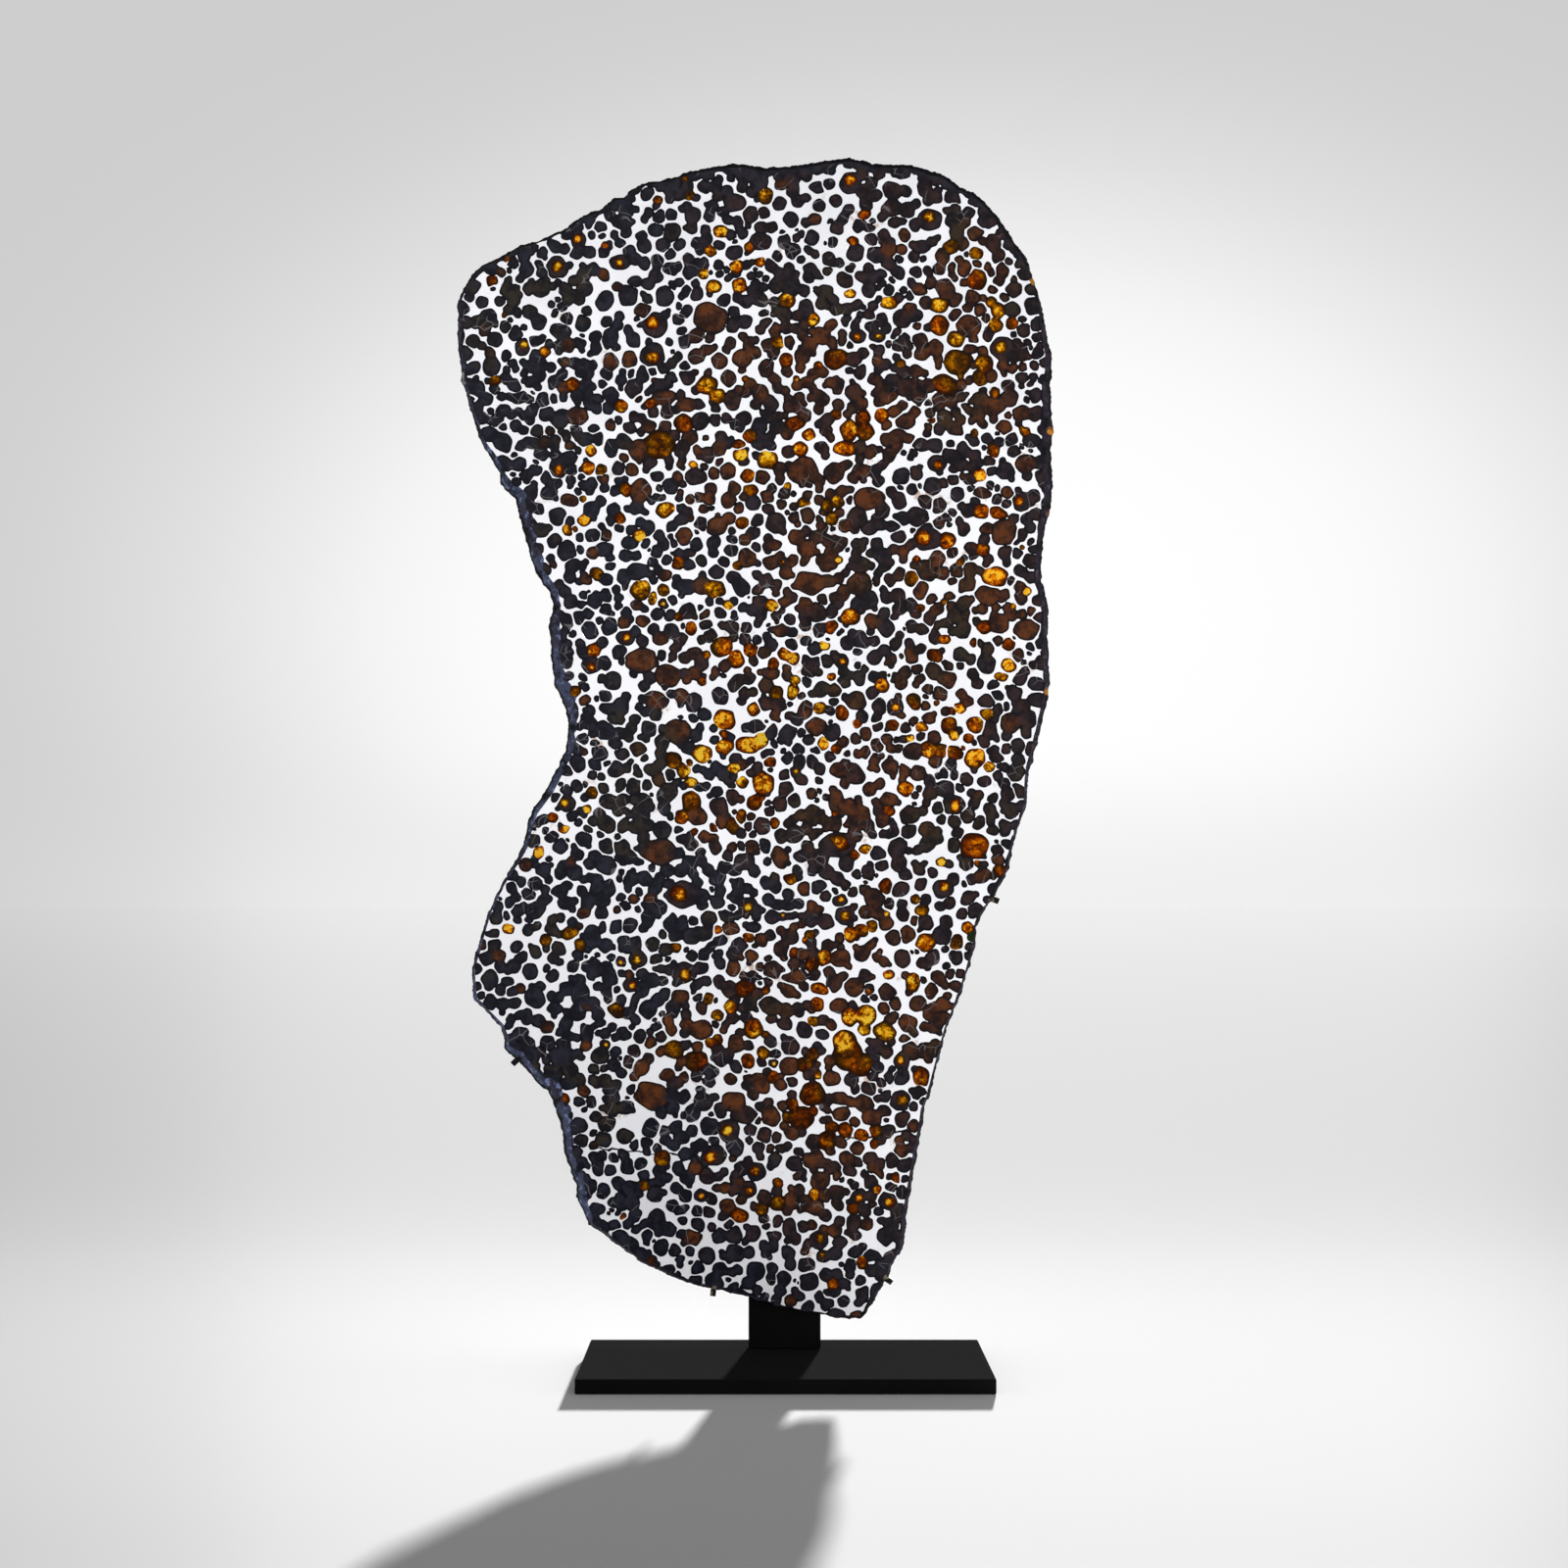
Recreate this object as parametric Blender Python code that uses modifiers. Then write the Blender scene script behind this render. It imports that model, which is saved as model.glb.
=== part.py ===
"""A tall pallasite meteorite slice held upright by small clips on a black steel stand.

Metres, +Z up, +X to the viewer's right, +Y to the back. The origin is the centre of the
base plate's underside.
"""
import math

import bmesh
import bpy
from mathutils import Vector

for old in list(bpy.data.objects):
    bpy.data.objects.remove(old, do_unlink=True)

MM = 0.001
GAP = 0.3 * MM  # air between pieces that touch

# Base plate and post: stock flat bar, so round sizes
BASE_WIDTH = 280 * MM
BASE_DEPTH = 150 * MM
BASE_THICK = 10 * MM
BASE_BREAK = 0.5 * MM  # broken edge
POST_WIDTH = 51 * MM
POST_THICK = 12 * MM
POST_FRONT_Y = 35 * MM
POST_TOP_Z = 600 * MM  # hidden behind the slice
POST_BREAK = 0.8 * MM

# Slice: flat polished faces, with the meteorite's own rough skin left as its edge
SLICE_FRONT_Y = 20 * MM
SLICE_THICK = 4.5 * MM
SKIN_AT = 0.7  # share of the thickness, from the front, where the edge reaches furthest
BACK_INSET = 0.8 * MM

# Clips and the arms that carry them
CLIP_WIDTH = 4 * MM
CLIP_PROUD = 3.6 * MM  # how far a clip stands out past the slice's edge
CLIP_WALL = 1.4 * MM
CLIP_LAP = 3.2 * MM  # how far a clip reaches in over the front face
CLIP_LEG = 11 * MM  # its leg behind the slice
CLIP_SLACK = 0.5 * MM  # air between a clip and the slice's edge
CLIP_BREAK = 0.3 * MM
ARM_SIZE = 7 * MM  # square bar
ARM_BREAK = 0.5 * MM
REST_WIDTH = 160 * MM  # crossbar near the top of the post, which the slice leans on
REST_HEIGHT = 20 * MM
REST_Z = 582 * MM

# Outline of the slice seen from the front, clockwise, in millimetres (x, z). Each stretch
# gives how wide its sloping edge looks from the front.
OUTLINE_MM = [
    ("crown", 3.5, [
        (-68, 840.5), (-59, 842.5), (-40, 845.5), (-30, 846), (-14, 843.5), (0, 844.5),
        (14, 845.5), (28, 848.5), (46, 850), (54, 848.5), (62, 845.8), (80, 845.5),
        (90, 845), (103, 840.5), (112, 838.5), (123, 830),
    ]),
    ("right shoulder", 3, [
        (132, 826), (141, 819), (149, 810), (154, 803), (159, 795), (164, 788), (169, 781),
        (173, 772), (175, 764), (180, 748), (182, 740), (185, 722),
    ]),
    ("right side, rough purple-black skin", 6, [
        (187.5, 712), (188, 700), (187, 690), (187, 680), (189, 658), (187, 645),
        (188.5, 620), (187, 604), (183, 588),
    ]),
    ("right side, lower", 4, [
        (181, 572), (180.5, 552), (183, 546), (185.5, 530), (185, 511), (186.5, 479),
        (184, 464), (178, 440), (172, 418),
    ]),
    ("right flank", 2, [
        (170.5, 402), (170, 394), (163, 376), (159, 360), (158, 351), (148, 332), (138, 317),
        (135, 310), (134.5, 300), (129, 279), (121, 255), (114, 238), (108, 215), (102, 191),
    ]),
    ("lower right", 3, [
        (98, 181), (97, 171), (93, 151), (89.5, 129), (85, 105), (85, 95), (82.5, 83),
    ]),
    ("foot", 2, [
        (75, 71), (74, 66), (64, 49), (57, 38), (53, 34.5), (36, 34), (25, 37), (10, 39),
        (-8, 43), (-30, 50.4), (-52, 55), (-70, 59.4), (-90, 68), (-100, 73), (-110, 80),
        (-130, 95), (-138, 100),
    ]),
    ("lower left, blue-grey skin", 6, [
        (-143, 113), (-146.5, 120), (-146.5, 127), (-155, 151), (-156, 165), (-163, 187),
        (-167, 194), (-174, 200), (-188, 216), (-197.5, 224),
    ]),
    ("left bulge", 2.5, [
        (-197, 230), (-200, 239), (-209, 249), (-218, 258), (-219.5, 268), (-220, 280),
        (-215.5, 296), (-209, 319), (-199, 340), (-188, 358), (-184, 366),
    ]),
    ("waist, blue-grey skin", 5.5, [
        (-181, 381), (-178, 391), (-167, 407), (-160, 421), (-153.5, 436), (-152.5, 456),
        (-157, 470), (-162, 479), (-164.5, 502), (-165.5, 520), (-163, 535), (-165, 544),
        (-175, 558), (-179, 570), (-187, 600), (-189, 610), (-195, 615), (-200, 621),
    ]),
    ("upper left", 2.5, [
        (-201, 630), (-213.5, 650), (-221, 673), (-225, 688), (-227.5, 694), (-227.5, 704),
        (-230, 718), (-229.5, 740), (-230.5, 747), (-225, 760), (-220, 768), (-212, 775.5),
        (-202, 779.5), (-186, 788.5), (-176, 791), (-155, 800), (-142, 810), (-131, 813.5),
        (-125, 817.5), (-120, 821.5), (-113, 822.5), (-109, 827.5), (-98, 832.5), (-79, 836),
    ]),
]

# Each clip: where it meets the edge (x, z) and which way it points, and where its arm
# leaves the post (x, z); all in millimetres and degrees from +X
CLIPS_MM = {
    "left": ((-188, 216), 225, (-19, 300)),
    "right": ((146, 329), -22, (19, 345)),
    "lower_left": ((-50, 54.6), -97, (-16, 92)),
    "lower_right": ((72, 62), -35, (17, 98)),
}


def principled(name, colour, roughness, metallic):
    material = bpy.data.materials.new(name)
    material.use_nodes = True
    shader = material.node_tree.nodes["Principled BSDF"]
    shader.inputs["Base Color"].default_value = (*colour, 1)
    shader.inputs["Roughness"].default_value = roughness
    shader.inputs["Metallic"].default_value = metallic
    return material


PARTS = bpy.data.collections.new("pallasite_slice_on_stand")
bpy.context.scene.collection.children.link(PARTS)

IRON_NICKEL = principled("iron_nickel", (0.78, 0.78, 0.80), 0.15, 1.0)
BLACK_STEEL = principled("black_steel", (0.020, 0.020, 0.022), 0.35, 0.0)
BRONZE = principled("dark_bronze", (0.22, 0.17, 0.11), 0.35, 1.0)


def add_part(name, mesh_or_curve, material):
    part = bpy.data.objects.new(name, mesh_or_curve)
    mesh_or_curve.materials.append(material)
    PARTS.objects.link(part)
    return part


def break_edges(part, width):
    bevel = part.modifiers.new("broken_edges", "BEVEL")
    bevel.width = width
    bevel.segments = 1
    bevel.limit_method = "ANGLE"


def block(name, size, centre, material, edge_break):
    bm = bmesh.new()
    bmesh.ops.create_cube(bm, size=1)
    bmesh.ops.scale(bm, vec=size, verts=bm.verts)
    mesh = bpy.data.meshes.new(name)
    bm.to_mesh(mesh)
    bm.free()
    part = add_part(name, mesh, material)
    part.location = centre
    break_edges(part, edge_break)
    return part


def slice_outline():
    """Outline points in metres, and the width of the sloping edge at each, eased along it."""
    points = []
    slopes = []
    for _name, slope, stretch in OUTLINE_MM:
        for x, z in stretch:
            points.append(Vector((x, z)) * MM)
            slopes.append(slope * MM)
    count = len(points)
    eased = []
    for i in range(count):
        near = [slopes[(i + step) % count] for step in (-2, -1, 0, 1, 2)]
        eased.append(sum(near) / len(near))
    return points, eased


def inset(points, widths):
    """Each point moved inwards, square to the outline's run past it."""
    moved = []
    count = len(points)
    for i, point in enumerate(points):
        run = (points[(i + 1) % count] - points[i - 1]).normalized()
        inwards = Vector((run.y, -run.x))
        moved.append(point + inwards * widths[i])
    return moved


def slice_body():
    """One solid: polished front, rough edge that slopes outwards to the back, polished back."""
    outline, slopes = slice_outline()
    sections = [
        (SLICE_FRONT_Y, inset(outline, slopes)),
        (SLICE_FRONT_Y + SKIN_AT * SLICE_THICK, outline),
        (SLICE_FRONT_Y + SLICE_THICK, inset(outline, [BACK_INSET] * len(outline))),
    ]
    bm = bmesh.new()
    rings = []
    for depth, ring in sections:
        rings.append([bm.verts.new((p.x, depth, p.y)) for p in ring])
    for near, far in zip(rings, rings[1:]):
        for i in range(len(near)):
            bm.faces.new((near[i - 1], near[i], far[i], far[i - 1]))
    bm.faces.new(rings[0])
    bm.faces.new(rings[-1])
    bmesh.ops.recalc_face_normals(bm, faces=bm.faces)
    mesh = bpy.data.meshes.new("meteorite_slice")
    bm.to_mesh(mesh)
    bm.free()
    return add_part("meteorite_slice", mesh, IRON_NICKEL)


def edge_reach(outline, at, way):
    """How far the outline reaches along way, in the strip as wide as a clip about at."""
    across = Vector((-way.y, way.x))
    half = CLIP_WIDTH / 2 + CLIP_SLACK
    reach = []
    for a, b in zip(outline, outline[1:] + outline[:1]):
        if (a - at).length > 0.03:
            continue
        for step in range(41):
            spot = a.lerp(b, step / 40) - at
            if abs(spot.dot(across)) < half:
                reach.append(spot.dot(way))
    return max(reach)


def clip(name, at, way, outline):
    """A strap bent round the slice's edge: a lip in front, a web outside, a leg behind."""
    inner = edge_reach(outline, at, way) + CLIP_SLACK
    outer = inner + CLIP_PROUD
    front = SLICE_FRONT_Y - GAP
    back = SLICE_FRONT_Y + SLICE_THICK + GAP
    profile = [
        (-CLIP_LAP, front - CLIP_WALL), (outer, front - CLIP_WALL),
        (outer, back + CLIP_WALL), (-CLIP_LEG, back + CLIP_WALL),
        (-CLIP_LEG, back), (inner, back), (inner, front), (-CLIP_LAP, front),
    ]
    curve = bpy.data.curves.new(name, "CURVE")
    curve.dimensions = "2D"
    curve.fill_mode = "BOTH"
    curve.extrude = CLIP_WIDTH / 2
    spline = curve.splines.new("POLY")
    spline.points.add(len(profile) - 1)
    for point, (out, depth) in zip(spline.points, profile):
        point.co = (out, depth, 0, 1)
    spline.use_cyclic_u = True
    part = add_part(name, curve, BRONZE)
    part.location = (at.x, 0, at.y)
    part.rotation_euler = (0, -math.atan2(way.y, way.x), 0)
    part.modifiers.new("closed_corners", "WELD")
    break_edges(part, CLIP_BREAK)
    return part


def arm(name, clip_at, way, post_at):
    """A square bar from the post's front face to the leg of its clip."""
    start = post_at
    end = clip_at - way * (CLIP_LEG - 2.5 * MM)
    run = end - start
    near = SLICE_FRONT_Y + SLICE_THICK + GAP + CLIP_WALL + GAP
    depth = POST_FRONT_Y - GAP - near
    middle = (start + end) / 2
    centre = (middle.x, near + depth / 2, middle.y)
    part = block(name, (run.length, depth, ARM_SIZE), centre, BLACK_STEEL, ARM_BREAK)
    part.rotation_euler = (0, -math.atan2(run.y, run.x), 0)
    return part


slice_body()

block("base_plate", (BASE_WIDTH, BASE_DEPTH, BASE_THICK), (0, 0, BASE_THICK / 2),
      BLACK_STEEL, BASE_BREAK)

post_foot = BASE_THICK + GAP
block("post", (POST_WIDTH, POST_THICK, POST_TOP_Z - post_foot),
      (0, POST_FRONT_Y + POST_THICK / 2, (POST_TOP_Z + post_foot) / 2), BLACK_STEEL, POST_BREAK)

slice_back_y = SLICE_FRONT_Y + SLICE_THICK
rest_thick = POST_FRONT_Y - slice_back_y - 2 * GAP
block("back_rest", (REST_WIDTH, rest_thick, REST_HEIGHT),
      (0, slice_back_y + GAP + rest_thick / 2, REST_Z), BLACK_STEEL, ARM_BREAK)

edge, _slopes = slice_outline()
for side, (at_mm, degrees, post_mm) in CLIPS_MM.items():
    at = Vector(at_mm) * MM
    way = Vector((math.cos(math.radians(degrees)), math.sin(math.radians(degrees))))
    clip("clip_" + side, at, way, edge)
    arm("arm_" + side, at, way, Vector(post_mm) * MM)
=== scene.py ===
"""Looks of a tall pallasite meteorite slice on a black steel stand.

Metres, +Z up, +X to the viewer's right, +Y to the back, in the frame of the CAD model.
"""
import math
import random

import bmesh
import bpy
import numpy as np
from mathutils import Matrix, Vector, noise
from mathutils.geometry import delaunay_2d_cdt


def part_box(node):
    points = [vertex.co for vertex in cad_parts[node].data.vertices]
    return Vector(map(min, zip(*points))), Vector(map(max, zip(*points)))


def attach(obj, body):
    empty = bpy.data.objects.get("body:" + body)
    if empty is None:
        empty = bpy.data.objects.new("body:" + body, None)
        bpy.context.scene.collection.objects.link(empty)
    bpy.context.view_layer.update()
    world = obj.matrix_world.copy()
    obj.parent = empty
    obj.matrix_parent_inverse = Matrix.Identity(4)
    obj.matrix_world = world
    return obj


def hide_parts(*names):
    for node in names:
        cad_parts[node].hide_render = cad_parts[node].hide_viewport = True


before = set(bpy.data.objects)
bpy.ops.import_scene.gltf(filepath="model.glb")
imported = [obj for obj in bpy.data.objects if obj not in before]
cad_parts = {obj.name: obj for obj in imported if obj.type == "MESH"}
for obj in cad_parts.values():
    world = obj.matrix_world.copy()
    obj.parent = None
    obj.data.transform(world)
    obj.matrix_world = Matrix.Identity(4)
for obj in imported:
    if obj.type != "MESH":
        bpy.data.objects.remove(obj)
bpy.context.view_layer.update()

MM = 0.001
scene = bpy.context.scene


# Base plate, post, back rest and arms
# Flat steel bar, sawn to length, welded behind the slice and sprayed black. The plate
# lies flat on the floor and carries the post near its back edge. Its faces that look up are
# painted paler: a little dust, and a painted sheen in place of the paint's reflection.
STEEL_NODES = ("base_plate", "post", "back_rest", "arm_left", "arm_right",
               "arm_lower_left", "arm_lower_right")
BLACK_PAINT = (0.006, 0.006, 0.0064)
WORN_PAINT = (0.010, 0.010, 0.0105)
WORN_PATCH = 0.05  # size of the paler patches, m
ORANGE_PEEL = 0.0006  # size of the sprayed paint's grain, m
PEEL_DEPTH = 0.00002
DUST_AND_SHEEN = (0.021, 0.020, 0.021)
DUST_AND_SHEEN_LIES = (0.6, 0.95)  # how far up a face looks where dust and painted sheen begin and where they are full


def start_material(name, roughness, metallic=0.0):
    """A node material; returns it with its tree and its Principled shader."""
    material = bpy.data.materials.new(name)
    material.use_nodes = True
    tree = material.node_tree
    shader = tree.nodes["Principled BSDF"]
    shader.inputs["Roughness"].default_value = roughness
    shader.inputs["Metallic"].default_value = metallic
    return material, tree, shader


def node(tree, kind, settings=None, **inputs):
    """A shader node of that kind, with its settings and its input values."""
    made = tree.nodes.new("ShaderNode" + kind)
    for name, value in (settings or {}).items():
        setattr(made, name, value)
    for name, value in inputs.items():
        made.inputs[name.replace("_", " ")].default_value = value
    return made


def place(tree):
    """Where a point is on the piece, in metres."""
    return node(tree, "TexCoord").outputs["Object"]


def grain(tree, size, detail=3.0, roughness=0.55):
    """Noise with features about as large as size, as a number from 0 to 1."""
    made = node(tree, "TexNoise", Scale=0.5 / size, Detail=detail, Roughness=roughness)
    tree.links.new(place(tree), made.inputs["Vector"])
    return made.outputs["Fac"]


def ramp(tree, source, stops):
    """Colours blended along source; stops are (position, colour)."""
    made = node(tree, "ValToRGB")
    bar = made.color_ramp
    while len(bar.elements) < len(stops):
        bar.elements.new(0.5)
    for element, (position, colour) in zip(bar.elements, stops):
        element.position = position
        element.color = (*colour, 1)
    tree.links.new(source, made.inputs["Fac"])
    return made.outputs["Color"]


def span(tree, source, low, high, to_low, to_high):
    """Source carried from one range to another, and held at its ends."""
    made = node(tree, "MapRange", {"interpolation_type": "SMOOTHSTEP"})
    for socket, value in zip(("From Min", "From Max", "To Min", "To Max"),
                             (low, high, to_low, to_high)):
        made.inputs[socket].default_value = value
    tree.links.new(source, made.inputs["Value"])
    return made.outputs["Result"]


def roughen(tree, shader, height, depth, strength=1.0):
    """Bumps of that depth in metres on the shader."""
    made = node(tree, "Bump", Strength=strength, Distance=depth)
    tree.links.new(height, made.inputs["Height"])
    tree.links.new(made.outputs["Normal"], shader.inputs["Normal"])


def blend(tree, share, first, second):
    """Two colours mixed by share; each is a colour or a socket."""
    made = node(tree, "Mix", {"data_type": "RGBA"})
    tree.links.new(share, made.inputs["Factor"])
    for socket, colour in ((made.inputs[6], first), (made.inputs[7], second)):
        if isinstance(colour, tuple):
            socket.default_value = (*colour, 1)
        else:
            tree.links.new(colour, socket)
    return made.outputs[2]


def axes_of(tree, vector):
    """A vector's three numbers, as the outputs X, Y and Z."""
    made = node(tree, "SeparateXYZ")
    tree.links.new(vector, made.inputs["Vector"])
    return made.outputs


paint, tree, shader = start_material("black_paint", 0.5)
shader.inputs["Specular IOR Level"].default_value = 0.0
paint_colour = ramp(tree, grain(tree, WORN_PATCH), [(0.35, BLACK_PAINT), (0.7, WORN_PAINT)])
looks_up = axes_of(tree, node(tree, "NewGeometry").outputs["Normal"])["Z"]
dust_and_sheen = span(tree, looks_up, *DUST_AND_SHEEN_LIES, 0, 1)
# Faces that look up are paler: a little dust and a painted sheen
tree.links.new(blend(tree, dust_and_sheen, paint_colour, DUST_AND_SHEEN), shader.inputs["Base Color"])
tree.links.new(span(tree, grain(tree, 0.03), 0.3, 0.7, 0.42, 0.55), shader.inputs["Roughness"])
roughen(tree, shader, grain(tree, ORANGE_PEEL, detail=2), PEEL_DEPTH, 0.4)

for name in STEEL_NODES:
    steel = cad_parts[name]
    steel.data.materials.clear()
    steel.data.materials.append(paint)


# Clips
# Bronze straps about 4 mm wide, bent round the slice's edge so that it can't tip, and
# soldered to the arms. They are browned, and bright where they were filed.
CLIP_NODES = ("clip_left", "clip_right", "clip_lower_left", "clip_lower_right")
BROWNED = (0.012, 0.011, 0.012)
FILED = (0.40, 0.33, 0.24)
FILE_MARK = 0.002  # size of the bright places, m
HAMMERED = 0.0008  # size and depth of the strap's dents, m
HAMMERED_DEPTH = 0.0001

bronze, tree, shader = start_material("browned_bronze", 0.35, metallic=1.0)
bronze_colour = ramp(tree, grain(tree, FILE_MARK, detail=4), [(0.50, BROWNED), (0.72, FILED)])
tree.links.new(bronze_colour, shader.inputs["Base Color"])
roughen(tree, shader, grain(tree, HAMMERED), HAMMERED_DEPTH, 0.6)

for name in CLIP_NODES:
    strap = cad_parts[name]
    strap.data.materials.clear()
    strap.data.materials.append(bronze)


# Edge of the slice
# The meteorite's own weathered skin, left when the slice was sawn. It slopes from the front
# face outwards to the back, slate blue on the left, purple on the right and black on top.
SKIN_STEP = 0.9  # along the edge, mm
SKIN_ROWS_FRONT = 6
FRONT_CURVE = 1.35  # above 1, the front slope falls away slowly at first
GIRDLE_BULGE = 0.25  # how far the edge stands out halfway to the back, mm
BACK_SHORT = 0.1  # how far the skin stops short of the back face, mm
# Knobs: size, seed and how far they stand out or in, in millimetres
KNOBS = [(6.5, 6.1, 1.2), (2.6, 3.1, 0.7), (1.1, 8.3, 0.5)]
DEEPEST_DENT = -0.8
KNOB_HEIGHT = 1.17  # and all of that times this much, where the skin is roughest
DIMPLES = (1.6, 5.7)  # size and seed of the unevenness from front to back
DIMPLE_DEPTH = 0.45
SLATE = (0.062, 0.072, 0.130)
# Glints on the skin's small faces are painted in: this pale blue on the slate, and the lilac below
# on the plum
PAINTED_GLINT = (0.20, 0.25, 0.44)
PLUM = (0.030, 0.020, 0.034)
LILAC_PAINTED_GLINT = (0.085, 0.070, 0.115)
SOOT = (0.004, 0.004, 0.005)
BLOTCH = 0.004  # size of the coloured blotches, m
BLOTCH_SHOWS = (0.32, 0.52)  # where between 0 and 1 the noise turns into a blotch
PLUM_PATCH = 0.016  # size of the plum places in the slate, m
PAINTED_GLINT_SIZE = 0.0022
PIT = 0.0012  # size and depth of the skin's pits, m
PIT_DEPTH = 0.0005
SLATE_FROM_X = (-0.10, -0.14)  # slate shows left of here, m
SLATE_FROM_Z = (0.72, 0.64)  # and below here
TOP_Z = (0.79, 0.72)  # the colours fade into black between these heights, m
# Chipped crystals in the skin: x, z and radius in millimetres, and colour; the bright amber ones
# are olivine with a painted glow
RIM_SPOTS = [(-224.5, 695, 4.5, (0.30, 0.31, 0.31)), (175, 763, 3, (0.55, 0.22, 0.01)),
             (187, 658, 3, (0.75, 0.30, 0.03)), (185, 475, 3, (0.60, 0.25, 0.02)),
             (-166, 506, 2.5, (0.20, 0.10, 0.05)), (186, 600, 3, (0.18, 0.07, 0.05))]

slice_low, slice_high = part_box("meteorite_slice")
FRONT_Y = slice_low.y
BACK_Y = slice_high.y


def cad_ring(depth):
    """The CAD slice's outline at one depth: (x, z) in millimetres, in order."""
    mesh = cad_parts["meteorite_slice"].data
    sides = {}
    for face in mesh.polygons:
        corners = [mesh.vertices[v].co for v in face.vertices]
        keys = [(round(c.x / MM, 3), round(c.z / MM, 3), abs(c.y - depth) < 1e-6)
                for c in corners]
        flat = all(key[2] for key in keys)
        for a, b in zip(keys, keys[1:] + keys[:1]):
            if a[2] and b[2]:
                pair = frozenset((a[:2], b[:2]))
                sides.setdefault(pair, []).append(flat)
    steps = {}
    for pair, flats in sides.items():
        if not all(flats):
            a, b = pair
            steps.setdefault(a, []).append(b)
            steps.setdefault(b, []).append(a)
    start = max(steps, key=lambda point: point[1])
    ring = [start]
    before, here = None, start
    while True:
        onwards = [p for p in steps[here] if p != before]
        right = max(onwards, key=lambda p: p[0]) if before is None else onwards[0]
        if right == start:
            break
        ring.append(right)
        before, here = here, right
    return np.array(ring[::-1])  # now it runs anticlockwise, seen from the front


depths = sorted({round(v.co.y, 6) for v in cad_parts["meteorite_slice"].data.vertices})
face_ring = cad_ring(depths[0])
girdle_ring = cad_ring(depths[1])
back_ring = cad_ring(depths[2])


def spaced(ring, count):
    """The ring walked in count equal steps of its own point numbers, so rings keep in step."""
    at = np.linspace(0, len(ring), count, endpoint=False)
    low = at.astype(int)
    share = (at - low)[:, None]
    after = ring[(low + 1) % len(ring)]
    return ring[low] * (1 - share) + after * share


def lumps(point, size, seed):
    """Smooth noise from about -1 to 1 with features about as large as size."""
    return noise.noise(Vector(point) / size + Vector((seed, seed * 0.7, -seed)))


def skin_mesh():
    """The sloping edge as a closed band: front slope, outermost line, back, and inner wall."""
    run = np.linalg.norm(np.diff(np.vstack([girdle_ring, girdle_ring[:1]]), axis=0), axis=1).sum()
    count = int(run / SKIN_STEP)
    face, girdle, back = (spaced(r, count) for r in (face_ring, girdle_ring, back_ring))
    outwards = girdle - face
    outwards /= np.linalg.norm(outwards, axis=1)[:, None]
    rows = []
    for step in range(SKIN_ROWS_FRONT + 1):
        share = step / SKIN_ROWS_FRONT
        depth = depths[0] + (depths[1] - depths[0]) * share ** FRONT_CURVE
        rows.append((face * (1 - share) + girdle * share, depth, math.sin(share * math.pi * 0.75)))
    middle = (depths[1] + depths[2]) / 2
    rows.append(((girdle + back) / 2 + outwards * GIRDLE_BULGE, middle, 0.9))
    rows.append((back, depths[2] - BACK_SHORT * MM, 0.25))
    rows.append((face, depths[2] - BACK_SHORT * MM, 0.0))
    bm = bmesh.new()
    loops = []
    for ring, depth, knobby in rows:
        loop = []
        for (x, z), (out_x, out_z) in zip(ring, outwards):
            here = (x, depth / MM, z)
            push = sum(lumps(here, size, seed) * height for size, seed, height in KNOBS)
            push = max(push, DEEPEST_DENT) * KNOB_HEIGHT * knobby
            sink = lumps(here, *DIMPLES) * DIMPLE_DEPTH * knobby
            loop.append(bm.verts.new(((x + out_x * push) * MM,
                                      max(depth + sink * MM, depths[0]),
                                      (z + out_z * push) * MM)))
        loops.append(loop)
    for near, far in zip(loops, loops[1:] + loops[:1]):
        for i in range(count):
            bm.faces.new((near[i - 1], near[i], far[i], far[i - 1]))
    bmesh.ops.recalc_face_normals(bm, faces=bm.faces)
    mesh = bpy.data.meshes.new("slice_skin")
    bm.to_mesh(mesh)
    bm.free()
    outer = [min(1.0, step / SKIN_ROWS_FRONT) for step in range(len(rows)) for _ in range(count)]
    mesh.attributes.new("outer", "FLOAT", "POINT").data.foreach_set("value", outer)
    return mesh


def add_piece(name, mesh, material):
    """A piece of the slice, in place of its CAD solid."""
    piece = bpy.data.objects.new(name, mesh)
    piece.data.materials.append(material)
    scene.collection.objects.link(piece)
    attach(piece, "root")
    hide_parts("meteorite_slice")
    return piece


def carried(tree, label):
    """A number that the mesh carries at each point."""
    return node(tree, "Attribute", {"attribute_name": label}).outputs["Fac"]


def reckon(tree, operation, first, second):
    """One sum on two values; each is a number or a socket."""
    made = node(tree, "Math", {"operation": operation})
    for socket, value in zip(made.inputs, (first, second)):
        if isinstance(value, (int, float)):
            socket.default_value = value
        else:
            tree.links.new(value, socket)
    return made.outputs["Value"]


def product(tree, first, second):
    """Two numbers multiplied."""
    return reckon(tree, "MULTIPLY", first, second)


def distance_from(tree, source, x, z, flatness=1.0):
    """How far source lies from x and z, seen from the front; a flat shape counts z for more."""
    off = node(tree, "VectorMath", {"operation": "MULTIPLY_ADD"})
    tree.links.new(source, off.inputs[0])
    off.inputs[1].default_value = (1, 0, flatness)
    off.inputs[2].default_value = (-x, 0, -z * flatness)
    reach = node(tree, "VectorMath", {"operation": "LENGTH"})
    tree.links.new(off.outputs["Vector"], reach.inputs[0])
    return reach.outputs["Value"]


def spot(tree, x, z, radius):
    """1 within a round spot centred on x and z, fading to 0 at its edge; millimetres."""
    off = distance_from(tree, place(tree), x * MM, z * MM)
    return span(tree, off, radius * 1.15 * MM, radius * 0.75 * MM, 0, 1)


def blotches(tree, least):
    """Blotches of colour with soft edges: 1 in a blotch, and least between them."""
    return span(tree, grain(tree, BLOTCH, detail=4), *BLOTCH_SHOWS, least, 1)


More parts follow.
